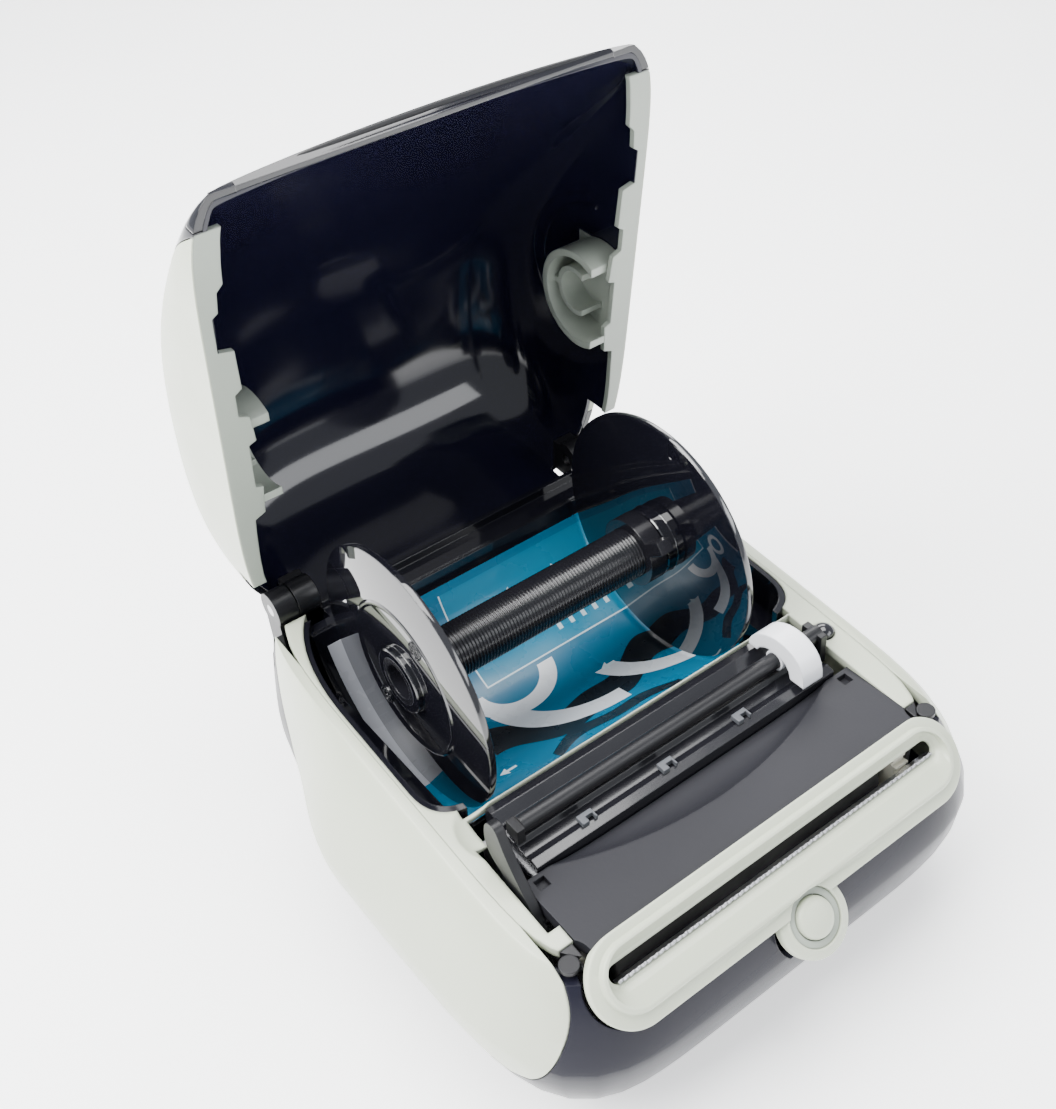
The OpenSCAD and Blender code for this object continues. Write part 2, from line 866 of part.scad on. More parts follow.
module lid_hinge_bar() {
  color(soft_black) to_origin()
    opened()
      mirrored_x()
        difference() {
          union() {
            rod_x(knuckle_r, lid_knuckle_x[0], lid_knuckle_x[1], hinge_y, hinge_z);
            box(lid_knuckle_x[0], lid_knuckle_x[1], hinge_y - 4, 82.6, hinge_z, 91.4);
          }
          rod_x(pin_r + fit, 40, 90, hinge_y, hinge_z);
          lid_screw_space();
        }
}

// ---- Lid, modelled closed and turned open ----

liner_inset = wall + 0.2;
liner_wall = 1.3;

module lid_trim() {
  box(-120, 120, -120, -66, 0, deck_z + 0.4);
  mirrored_x() box(51, 120, 60, 120, 0, 91.5);
  box(-120, 120, 70, 100, 0, 85);
}

module lid_shell() {
  color(gloss_black) to_origin()
    opened()
      difference() {
        lid_solid();
        lid_solid(wall, hollow_drop);
        mirrored_x() side_leaf(lid_leaf(gap), 30, 120);
        mirrored_x() box(58, 120, -120, -66.7, 0, 84);
        mirrored_x() lid_screw_space();
        lid_trim();
      }
}

module lid_liner() {
  color([0.05, 0.05, 0.10]) to_origin()
    opened()
      difference() {
        lid_solid(liner_inset);
        lid_solid(liner_inset + liner_wall, hollow_drop);
        lid_trim();
      }
}

module lid_panel(side) {
  opened()
    mirror([side < 0 ? 1 : 0, 0, 0])
      difference() {
        intersection() {
          lid_solid();
          side_leaf(lid_leaf(0), 40, 120);
        }
        lid_solid(wall, hollow_drop);
        lid_trim();
      }
}

module lid_panel_left() {
  color(cream) to_origin() lid_panel(-1);
}

module lid_panel_right() {
  color(cream) to_origin() lid_panel(1);
}

module lid_corner_blocks() {
  color(gloss_black) to_origin()
    opened()
      mirrored_x()
        difference() {
          intersection() {
            lid_solid();
            box(58, 120, -120, -67, 60, 84);
          }
          lid_solid(liner_inset - 0.3, hollow_drop);
          box(-120, 120, -120, -66, 0, deck_z + 0.4);
        }
}

cradle_y = 12;
cradle_z = 82;
cradle_x = [57.5, 70.6];

module cradle() {
  difference() {
    union() {
      difference() {
        rod_x(17, cradle_x[0], cradle_x[1], cradle_y, cradle_z + 4);
        rod_x(14.6, 0, 90, cradle_y, cradle_z + 4);
        box(0, 90, -90, 90, 0, cradle_z - 6);
      }
      difference() {
        rod_x(8.6, cradle_x[0] + 3, cradle_x[1], cradle_y, cradle_z + 8);
        rod_x(6.8, 0, 90, cradle_y, cradle_z + 8);
        box(0, 90, -90, 90, 0, cradle_z + 4);
      }
      box(cradle_x[0] + 3, cradle_x[1], cradle_y - 1, cradle_y + 1, cradle_z + 15.5, cradle_z + 19.5);
      box(cradle_x[1] - 1.6, cradle_x[1], cradle_y - 16, cradle_y + 16, cradle_z - 4, cradle_z + 16);
    }
    difference() {
      box(0, 120, -120, 120, 0, 200);
      lid_solid(liner_inset + liner_wall + 0.05);
    }
    box(0, 90, -90, 90, 0, cradle_z - 4.4);
  }
}

module cradle_left() {
  color(pale_grey) to_origin() opened() mirror([1, 0, 0]) cradle();
}

module cradle_right() {
  color(pale_grey) to_origin() opened() cradle();
}

module lid_screws() {
  color(steel) to_origin()
    opened()
      mirrored_x()
        translate([57, 81.9, hinge_z]) {
          cylinder(r = 2, h = 1.4);
          cylinder(r = 0.9, h = 13);
        }
}

// ---- Spool ----

module spool_spindle() {
  color(soft_black) to_origin() {
    difference() {
      union() {
        rod_x(spindle_r - 0.6, flange_left_x - 3.2, flange_right_x + 9, spool_y, spool_z);
        for (i = [0:41])
          rod_x(spindle_r, flange_left_x + 2 + i * 2.3, flange_left_x + 3.2 + i * 2.3, spool_y, spool_z);
      }
      rod_x(spindle_r - 2.6, -90, 90, spool_y, spool_z);
    }
  }
}

module spool_left_flange() {
  color(gloss_black) to_origin()
    difference() {
      union() {
        rod_x(flange_r, flange_left_x - 1.1, flange_left_x + 1.1, spool_y, spool_z);
        rod_x(spindle_r + 2.2, flange_left_x - 3.2, flange_left_x, spool_y, spool_z);
      }
      rod_x(spindle_r - 0.6, -90, 90, spool_y, spool_z);
    }
}

module spool_right_flange() {
  color(smoke) to_origin()
    difference() {
      union() {
        rod_x(flange_r, flange_right_x - 1.1, flange_right_x + 1.1, spool_y, spool_z);
        rod_x(spindle_r + 3, flange_right_x - 5, flange_right_x + 3, spool_y, spool_z);
      }
      rod_x(spindle_r + fit, -90, 90, spool_y, spool_z);
    }
}

module spool_lock() {
  lock_x = flange_right_x - 12;
  color(soft_black) to_origin()
    difference() {
      union() {
        rod_x(spindle_r + 3.2, lock_x, lock_x + 6.4, spool_y, spool_z);
        translate([lock_x, spool_y, spool_z])
          rotate([55, 0, 0])
            translate([0, -2.2, spindle_r + 2]) cube([5, 4.4, 8]);
      }
      rod_x(spindle_r + fit, -90, 90, spool_y, spool_z);
    }
}

bottom_cover();
lower_shell();
front_bumper();
side_panel_left();
side_panel_right();
upper_housing();
label_well();
reference_label();
deck_cover();
feed_plate();
guide_clips();
corner_caps();
corner_screws();
front_bezel();
tear_bar();
button_ring();
feed_button();
feed_button_spring();
eject_button();
eject_button_spring();
release_lever();
edge_guide();
guide_rail();
chassis();
platen_shaft();
platen_rubber();
platen_bushings();
platen_gear();
idler_gear();
idler_pin();
motor_pinion();
stepper_motor();
print_head();
head_carrier();
head_springs();
label_sensor();
main_board();
flat_cable();
usb_port();
power_jack();
rubber_feet();
base_screws();
hinge_knuckles();
hinge_pins();
lid_shell();
lid_liner();
lid_panel_left();
lid_panel_right();
lid_corner_blocks();
cradle_left();
cradle_right();
lid_hinge_bar();
lid_screws();
spool_spindle();
spool_left_flange();
spool_right_flange();
spool_lock();
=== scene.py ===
import json
import math

import bmesh
import bpy
import numpy as np
from mathutils import Matrix, Vector


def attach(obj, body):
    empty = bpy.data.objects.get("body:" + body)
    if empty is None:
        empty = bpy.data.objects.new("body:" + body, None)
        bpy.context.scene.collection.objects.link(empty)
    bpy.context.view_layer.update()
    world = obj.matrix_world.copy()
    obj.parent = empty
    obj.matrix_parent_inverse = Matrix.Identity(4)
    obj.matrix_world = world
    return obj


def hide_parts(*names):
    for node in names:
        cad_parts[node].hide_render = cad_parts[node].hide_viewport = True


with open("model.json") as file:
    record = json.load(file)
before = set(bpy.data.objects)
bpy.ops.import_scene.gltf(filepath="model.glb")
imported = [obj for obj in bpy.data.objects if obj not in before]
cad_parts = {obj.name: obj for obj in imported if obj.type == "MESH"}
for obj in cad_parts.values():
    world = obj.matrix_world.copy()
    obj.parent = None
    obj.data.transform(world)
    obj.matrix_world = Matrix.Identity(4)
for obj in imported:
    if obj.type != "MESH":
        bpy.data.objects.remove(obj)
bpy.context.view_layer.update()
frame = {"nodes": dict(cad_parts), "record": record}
record = frame["record"]

# ---- Layout in millimetres: X to the right, Y to the rear, Z up from the floor. The origin is the
# ---- one in which the parts were laid out, MID_Y in front of the frame's ----

MM = 0.001
JOINTS = record["behaviour"]["joints"]
HINGE = next(joint for joint in JOINTS if joint["name"] == "lid_hinge")["pos_m"]
HINGE_Y, HINGE_Z = 75.0, HINGE[2] / MM
MID_Y = HINGE_Y - HINGE[1] / MM
LID_SWING = math.radians(86)
FAR = 120  # past every wall, for blocks that cut
SIDES = ((-1, "left"), (1, "right"))

# Housing in plan: superellipses, with their own power in front of and behind PLAN_MID_Y
RIM_HALF_W, WALL = 74.3, 2.4
PLAN_MID_Y, PLAN_REAR_Y, BASE_FRONT_Y = 4.0, 88.0, -84.0
FRONT_POWER, REAR_POWER = 8.0, 5.0
RIM_Z, RIM_SLOPE, RIM_START_Y = 68.5, 0.095, -70.0

# Base in section: bulges outwards to the waist and turns in to the floor
FLOOR_Z, BOTTOM_INSET = 2.5, 13.0
BULGE, BULGE_Y, FRONT_FADE, REAR_BULGE, REAR_FADE = 17.3, 10.0, 0.00047, 5.1, 3.6
WAIST_Z, WAIST_SLOPE, LOWER_POWER, UPPER_POWER = 39.0, 0.035, 1.92, 1.25
HOLLOW_LIFT = -3.0
BUMPER_REAR_Y, BUMPER_LOW_Z = -61.5, 5.2
DECK_HALF_W, DECK_Z, CORNER_Y, LEAF_X, GAP = 62.0, 69.0, -71.5, 70.5, 0.3
REAR_CUT_Y, REAR_DECK_Z = 68.5, 67.0

# Lid: its profile runs from 0 at the front edge over the crown at 1 to LID_END at the rear edge
LID_TOP_Z, LID_FRONT_Y, LID_FRONT_Z, LID_REAR_Z = 143.5, -75.0, 72.0, 84.5
LID_CROWN_Y, LID_END = 22.0, 1.97
LID_PLAN_Y, LID_HALF_W, LID_BOW, ARCH_POWER = -80.0, 73.6, 2.2, 4.4
LID_CLEAR, LID_DROP = 0.5, 2.0
LINER_INSET, LINER_WALL = WALL + 0.2, 1.3
CRADLE_Y, CRADLE_Z = 12.0, 82.0

# Spool and well
SPOOL_Y, SPOOL_Z, FLANGE_R, SPINDLE_R, WELL_R = 17.4, 89.0, 42.9, 8.4, 45.6
LEFT_X, RIGHT_X = -52.0, 44.0

# Front bezel, its slot and its button
BEZEL_TOP, BEZEL_LOW, BEZEL_HALF_W = (-77.8, 72.7), (-96.0, 53.5), 68.0
BEZEL_MID = ((BEZEL_TOP[0] + BEZEL_LOW[0]) / 2, (BEZEL_TOP[1] + BEZEL_LOW[1]) / 2)
BEZEL_HALF_H = math.dist(BEZEL_TOP, BEZEL_LOW) / 2
FACE_TILT = math.atan2(BEZEL_TOP[1] - BEZEL_LOW[1], BEZEL_TOP[0] - BEZEL_LOW[0])
SLOT_Y, SLOT_Z, SLOT_HALF_W = -84.0, 64.0, 59.0
BUTTON_AT, TAB_R = (-97.3, 49.8), 11.5


def to_frame(points, lid=False):
    """Layout millimetres to frame metres. Lid points are given closed and turned to the open rest
    position."""
    p = np.array(points, float).reshape(-1, 3)
    if lid:
        y, z = p[:, 1] - HINGE_Y, p[:, 2] - HINGE_Z
        c, s = math.cos(-LID_SWING), math.sin(-LID_SWING)
        p[:, 1], p[:, 2] = HINGE_Y + y * c - z * s, HINGE_Z + y * s + z * c
    p[:, 1] -= MID_Y
    return p * MM


def rim_z(y):
    """Height of the seam between the base and the lid."""
    return RIM_Z + RIM_SLOPE * (y - RIM_START_Y)


# ---- Mesh helpers ----

def add(name, data):
    thing = bpy.data.objects.new(name, data)
    bpy.context.scene.collection.objects.link(thing)
    return thing


def new_piece(name, points, faces, lid=False):
    data = bpy.data.meshes.new(name)
    data.from_pydata(to_frame(points, lid).tolist(), [], faces)
    return add(name, data)


def fix_normals(piece):
    bm = bmesh.new()
    bm.from_mesh(piece.data)
    bmesh.ops.remove_doubles(bm, verts=bm.verts, dist=1e-7)
    bmesh.ops.recalc_face_normals(bm, faces=bm.faces)
    bm.to_mesh(piece.data)
    bm.free()
    return piece


def loft(name, rings, lid=False, caps=True, closed=False):
    """Skin through rings of equal length. closed joins the last ring to the first."""
    n, m = len(rings[0]), len(rings)
    faces = []
    for j in range(m if closed else m - 1):
        for i in range(n):
            k, q = (i + 1) % n, (j + 1) % m
            faces.append((j * n + i, j * n + k, q * n + k, q * n + i))
    if caps and not closed:
        faces.append(tuple(range(n - 1, -1, -1)))
        faces.append(tuple((m - 1) * n + i for i in range(n)))
    return fix_normals(new_piece(name, np.vstack(rings), faces, lid))


def prism(name, outline, low, high, axis="z", lid=False):
    """Outline pushed from low to high along an axis. Both may be functions of y in a z prism."""
    flat = np.array(outline, float)
    rings = []
    for level in (low, high):
        if axis == "z":
            z = level(flat[:, 1]) if callable(level) else np.full(len(flat), float(level))
            rings.append(np.column_stack([flat[:, 0], flat[:, 1], z]))
        else:
            rings.append(np.column_stack([np.full(len(flat), float(level)), flat[:, 0],
                                          flat[:, 1]]))
    return loft(name, rings, lid)


def block(name, x0, x1, y0, y1, z0, z1, lid=False):
    return prism(name, [(x0, y0), (x1, y0), (x1, y1), (x0, y1)], z0, z1, lid=lid)


def full_turn(steps):
    return np.linspace(0, 2 * math.pi, steps, endpoint=False)


def circle(x, y, r, steps=48):
    turn = full_turn(steps)
    return np.column_stack([x + r * np.cos(turn), y + r * np.sin(turn)])


def lathe(name, profile, x=0.0, y=SPOOL_Y, z=SPOOL_Z, steps=128):
    """Closed profile of (x, radius) points turned about an axis along X."""
    along, radius = np.array(profile, float).T
    rings = [
        np.column_stack([x + along, y + radius * math.cos(a), z + radius * math.sin(a)])
        for a in full_turn(steps)
    ]
    return loft(name, rings, closed=True)


def rod(name, r, x0, x1, y, z, steps=128):
    return prism(name, circle(y, z, r, steps), x0, x1, axis="x")


def ellipsoid(name, centre, radii, steps=48):
    """A closed egg shape, for soft hollows."""
    a, rings = full_turn(steps), []
    for b in np.radians(np.linspace(-89, 89, steps // 2)):
        rings.append(np.column_stack([
            centre[0] + radii[0] * math.cos(b) * np.cos(a),
            centre[1] + radii[1] * math.cos(b) * np.sin(a),
            np.full(steps, centre[2] + radii[2] * math.sin(b)),
        ]))
    return loft(name, rings)


def boolean(piece, tools, how="DIFFERENCE"):
    """Applies the tools to the piece and deletes them."""
    for tool in tools:
        step = piece.modifiers.new("cut", "BOOLEAN")
        step.operation, step.solver, step.object = how, "MANIFOLD", tool
    bpy.context.view_layer.update()
    graph = bpy.context.evaluated_depsgraph_get()
    made = bpy.data.meshes.new_from_object(piece.evaluated_get(graph))
    piece.modifiers.clear()
    piece.data = made
    for tool in tools:
        bpy.data.objects.remove(tool)
    if not len(piece.data.vertices):
        raise RuntimeError(f"{piece.name}: the boolean left nothing")
    return piece


def join(name, parts):
    """One object out of several meshes."""
    bm = bmesh.new()
    for part in parts:
        bm.from_mesh(part.data)
    data = bpy.data.meshes.new(name)
    bm.to_mesh(data)
    bm.free()
    for part in parts:
        bpy.data.objects.remove(part)
    return add(name, data)


def bezier_at(t, a, b, c, d):
    s = 1 - t
    a, b, c, d = (np.array(v, float) for v in (a, b, c, d))
    return s**3 * a + 3 * s * s * t * b + 3 * s * t * t * c + t**3 * d


def bezier(a, b, c, d, steps):
    return bezier_at(np.linspace(0, 1, steps + 1)[:, None], a, b, c, d)


def on_face(outline, out, at):
    """Outline on the sloping front face, X along the slot and Y up the face, raised out of it at a
    place (y, z)."""
    x, up = np.array(outline, float).T
    c, s = math.cos(FACE_TILT), math.sin(FACE_TILT)
    return np.column_stack([x, at[0] + up * c - out * s, at[1] + up * s + out * c])


# ---- Outlines and skins of the housing ----

def signed_power(v, p):
    return np.sign(v) * np.abs(v) ** p


def quadrant(power, steps):
    """Angles from 0 to 90 degrees at which a superellipse's points are almost evenly spaced."""
    u = np.linspace(0, 1, steps + 1)
    k = power / 2
    return 90 * u**k / (u**k + (1 - u) ** k)


def plan_angles(steps=34):
    rear, front = quadrant(REAR_POWER, steps), quadrant(FRONT_POWER, steps)
    return np.concatenate([rear[:-1], 180 - rear[::-1][:-1], 180 + front[:-1],
                           360 - front[::-1][:-1]])


def plan_points(angles, inset=0.0):
    """Outline of the base at its rim."""
    s, c = np.sin(np.radians(angles)), np.cos(np.radians(angles))
    front = s < 0
    n = np.where(front, FRONT_POWER, REAR_POWER)
    half_w = RIM_HALF_W - inset
    half_l = np.where(front, PLAN_MID_Y - BASE_FRONT_Y, PLAN_REAR_Y - PLAN_MID_Y) - inset
    return np.column_stack([
        half_w * signed_power(c, 2 / n), PLAN_MID_Y + half_l * signed_power(s, 2 / n)
    ])


def plan_normals(angles):
    d = plan_points(angles + 0.5) - plan_points(angles - 0.5)
    n = np.column_stack([d[:, 1], -d[:, 0]])
    return n / np.linalg.norm(n, axis=1)[:, None]


def bulge_at(y):
    """How far the waist stands out of the rim's outline."""
    front = BULGE - FRONT_FADE * (y - BULGE_Y) ** 2
    fade = np.cos(np.radians(np.minimum(REAR_FADE * (y - BULGE_Y), 180)))
    rear = REAR_BULGE + (BULGE - REAR_BULGE) * (0.5 + 0.5 * fade)
    return np.where(y < BULGE_Y, front, rear)


def base_ring(level, inset, lift):
    """Ring round the base: level -1 is the bottom, 0 the waist and 1 the rim."""
    angles = plan_angles()
    p, m = plan_points(angles), plan_normals(angles)
    a, low = math.radians(90 * abs(level)), level < 0
    power = LOWER_POWER if low else UPPER_POWER
    c, d = max(math.cos(a), 0) ** (2 / power), max(math.sin(a), 0) ** (2 / power)
    full = bulge_at(p[:, 1])
    out = (full + BOTTOM_INSET) * c - BOTTOM_INSET if low else full * c
    waist = WAIST_Z + WAIST_SLOPE * (p[:, 1] - BASE_FRONT_Y)
    end = FLOOR_Z + inset if low else rim_z(p[:, 1]) + lift
    return np.column_stack([p + m * (out - inset)[:, None], waist + (end - waist) * d])


def base_solid(name, inset=0.0, lift=0.0, steps=22):
    return loft(name, [base_ring(j / steps, inset, lift) for j in range(-steps, steps + 1)])


def lid_profile(t):
    """Place (y, z) on the lid's middle line."""
    crown = (LID_CROWN_Y, LID_TOP_Z - 0.7)
    if t < 1:
        return bezier_at(t, (LID_FRONT_Y, LID_FRONT_Z), (-48, 99), (-21, 140.5), crown)
    high, end = (PLAN_REAR_Y, LID_TOP_Z - 3.5), (PLAN_REAR_Y, LID_REAR_Z)
    return bezier_at(t - 1, crown, (52, LID_TOP_Z + 1.4), high, end)


def lid_spine(t, inset):
    """The same line, moved into the lid by inset."""
    d = lid_profile(t + 0.002) - lid_profile(t - 0.002)
    return lid_profile(t) + inset * np.array([d[1], -d[0]]) / np.linalg.norm(d)


def lid_half(y):
    """The lid's half width."""
    front = y < PLAN_MID_Y
    power = FRONT_POWER if front else REAR_POWER
    reach = PLAN_MID_Y - LID_PLAN_Y if front else PLAN_REAR_Y - PLAN_MID_Y
    u = min(abs(y - PLAN_MID_Y) / reach, 0.9999)
    return LID_HALF_W * (1 - u**power) ** (1 / power)


def lid_low(y):
    return rim_z(y) + LID_CLEAR


def lid_ring(t, inset, drop, steps=34):
    """Arch across the lid at t, with its two ends lowered by drop."""
    p = lid_spine(t, inset)
    w, low = lid_half(p[0]) - inset, lid_low(p[0])
    h, bow = max(p[1] - low, 0.3), LID_BOW * max(1 - t, 0) ** 3
    half = quadrant(ARCH_POWER, steps)
    a = np.radians(np.concatenate([180 - half, half[::-1][1:]]))
    x = signed_power(np.cos(a), 2 / ARCH_POWER)
    z = low + h * np.abs(np.sin(a)) ** (2 / ARCH_POWER)
    z[0], z[-1] = low - drop, low - drop
    return np.column_stack([w * x, p[0] - bow * (1 - x * x), z])


def lid_solid(name, inset=0.0, drop=0.0, steps=64):
    rings = [lid_ring(LID_END * j / steps, inset, drop) for j in range(steps + 1)]
    return loft(name, rings, lid=True)


def lid_hollow(inset=WALL):
    return lid_solid("inner", inset, LID_DROP)


def lid_wall_x(y, z, inset):
    """Half width of the lid's inner wall at a place in its side."""
    spine = np.array([lid_spine(t, inset) for t in np.linspace(0, LID_END, 80)])
    top, low = np.interp(y, spine[:, 0], spine[:, 1]), lid_low(y)
    v = min(max((z - low) / (top - low), 0), 0.9999)
    return (lid_half(y) - inset) * (1 - v**ARCH_POWER) ** (1 / ARCH_POWER)


def base_leaf(g):
    """Side view of the base's side panel, grown by g."""
    a = bezier((-70.5 - g, 71), (-90 - g, 60), (-88 - g, 27 - g), (-64, 27 - g), 36)
    b = bezier((-64, 27 - g), (-8, 25 - g), (62 + g, 17 - g), (66.5 + g, 84), 48)
    return np.vstack([a, b[1:]])


def lid_leaf(g):
    """Side view of the lid's side panel, grown by g."""
    a = bezier((-67 - g, 67), (-56 - g, 92 + g), (-14, 124 + g), (30, 124 + g), 40)
    b = bezier((30, 124 + g), (58, 124 + g), (66 + g, 104), (66 + g, 84), 28)
    return np.vstack([a, b[1:], [[66 + g, 81]]])


def well_outline(grow, steps=26):
    """The well in plan."""
    w, front, corner = 70.4 + grow, -22 - grow, 14
    parts = [
        bezier((-54 - grow, 72 + grow), (-64 - grow, 66), (-w, 50), (-w, 26), steps),
        bezier((-w, -8), (-w, front + 4), (-w + 5, front), (-w + corner, front), steps),
        bezier((w - corner, front), (w - 5, front), (w, front + 4), (w, -8), steps),
        bezier((w, 26), (w, 50), (64 + grow, 66), (54 + grow, 72 + grow), steps),
    ]
    return np.vstack(parts)


def stadium(half_w, half_h, steps=28):
    """Outline of a slot with round ends."""
    a = np.linspace(-math.pi / 2, math.pi / 2, steps)
    right = np.column_stack([half_w - half_h + half_h * np.cos(a), half_h * np.sin(a)])
    left = np.column_stack([-half_w + half_h - half_h * np.cos(a), -half_h * np.sin(a)])
    return np.vstack([right, left])


def side_prism(outline, side, x0, lid=False):
    """Outline in side view, from x0 outwards on one side."""
    return prism("cut", outline, *sorted((side * x0, side * FAR)), axis="x", lid=lid)


def side_blocks(x0, x1, *rest, lid=False):
    """The same block on the left and on the right."""
    return [block("cut", *sorted((side * x0, side * x1)), *rest, lid=lid) for side, _ in SIDES]


# ---- Shader helpers. Noise scales are per metre, and heights are in metres ----

MOTTLE, GRAIN_HEIGHT = 24.0, 0.00004


class Value:
    """A number in a shader: arithmetic on it adds math nodes."""

    def __init__(self, tree, socket):
        self.tree, self.socket = tree, socket

    def math(self, operation, *others):
        node = self.tree.nodes.new("ShaderNodeMath")
        node.operation = operation
        self.tree.links.new(self.socket, node.inputs[0])
        for i, other in enumerate(others):
            if isinstance(other, Value):
                self.tree.links.new(other.socket, node.inputs[i + 1])
            else:
                node.inputs[i + 1].default_value = other
        return Value(self.tree, node.outputs[0])

    def __add__(self, other):
        return self.math("ADD", other)

    def __sub__(self, other):
        return self.math("SUBTRACT", other)

    def __mul__(self, other):
        return self.math("MULTIPLY", other)

    def below(self, other):
        return self.math("LESS_THAN", other)

    def above(self, other):
        return self.math("GREATER_THAN", other)

    def between(self, low, high):
        return self.above(low) * self.below(high)

    def either(self, other):
        return self.math("MAXIMUM", other)

    def sine(self):
        return self.math("SINE")

    def size(self):
        return self.math("ABSOLUTE")

    def fraction(self):
        return self.math("FRACT")


def start_material(name):
    material = bpy.data.materials.new(name)
    material.use_nodes = True
    tree = material.node_tree
    shader = tree.nodes["Principled BSDF"]
    place = tree.nodes.new("ShaderNodeTexCoord")
    return material, tree, shader, place


def noise(tree, place, scale, detail=3.0, stretch=(1, 1, 1)):
    mapping = tree.nodes.new("ShaderNodeMapping")
    mapping.inputs["Scale"].default_value = stretch
    tree.links.new(place.outputs["Object"], mapping.inputs["Vector"])
    node = tree.nodes.new("ShaderNodeTexNoise")
    node.inputs["Scale"].default_value = scale
    node.inputs["Detail"].default_value = detail
    tree.links.new(mapping.outputs[0], node.inputs["Vector"])
    return node.outputs["Fac"]


def spread(tree, source, low, high):
    """Turns noise, which mostly lies between 0.3 and 0.7, into low to high."""
    node = tree.nodes.new("ShaderNodeMapRange")
    node.inputs["From Min"].default_value = 0.3
    node.inputs["From Max"].default_value = 0.7
    node.inputs["To Min"].default_value = low
    node.inputs["To Max"].default_value = high
    tree.links.new(source, node.inputs["Value"])
    return node.outputs["Result"]


def mix(tree, factor, a, b):
    node = tree.nodes.new("ShaderNodeMix")
    node.data_type = "RGBA"
    tree.links.new(factor, node.inputs[0])
    for socket, value in ((node.inputs[6], a), (node.inputs[7], b)):
        if isinstance(value, tuple):
            socket.default_value = (*value, 1)
        else:
            tree.links.new(value, socket)
    return node.outputs[2]


def relief(tree, shader, height, strength, distance, bevel):
    """Raised grain, and edges rounded by bevel metres."""
    bump = tree.nodes.new("ShaderNodeBump")
    bump.inputs["Strength"].default_value = strength
    bump.inputs["Distance"].default_value = distance
    tree.links.new(height, bump.inputs["Height"])
    if bevel:
        soft = tree.nodes.new("ShaderNodeBevel")
        soft.samples = 4
        soft.inputs["Radius"].default_value = bevel
        tree.links.new(soft.outputs[0], bump.inputs["Normal"])
    tree.links.new(bump.outputs[0], shader.inputs["Normal"])


def plastic(name, colour, shade, rough, grain=900.0, depth=0.25, bevel=0.0005, coat=0.0,
            metallic=0.0, stretch=(1, 1, 1), specular=0.5, ior=1.5):
    """Moulded or machined surface: soft mottling, uneven gloss, a fine grain and rounded edges."""
    material, tree, shader, place = start_material(name)
    base = mix(tree, noise(tree, place, MOTTLE), colour, shade)
    gloss = spread(tree, noise(tree, place, MOTTLE * 3, 4, stretch), *rough)
    tree.links.new(base, shader.inputs["Base Color"])
    tree.links.new(gloss, shader.inputs["Roughness"])
    shader.inputs["Metallic"].default_value = metallic
    shader.inputs["Coat Weight"].default_value = coat
    shader.inputs["Coat Roughness"].default_value = 0.04
    shader.inputs["Specular IOR Level"].default_value = specular
    shader.inputs["IOR"].default_value = ior
    relief(tree, shader, noise(tree, place, grain, 2, stretch), depth, GRAIN_HEIGHT, bevel)
    return material


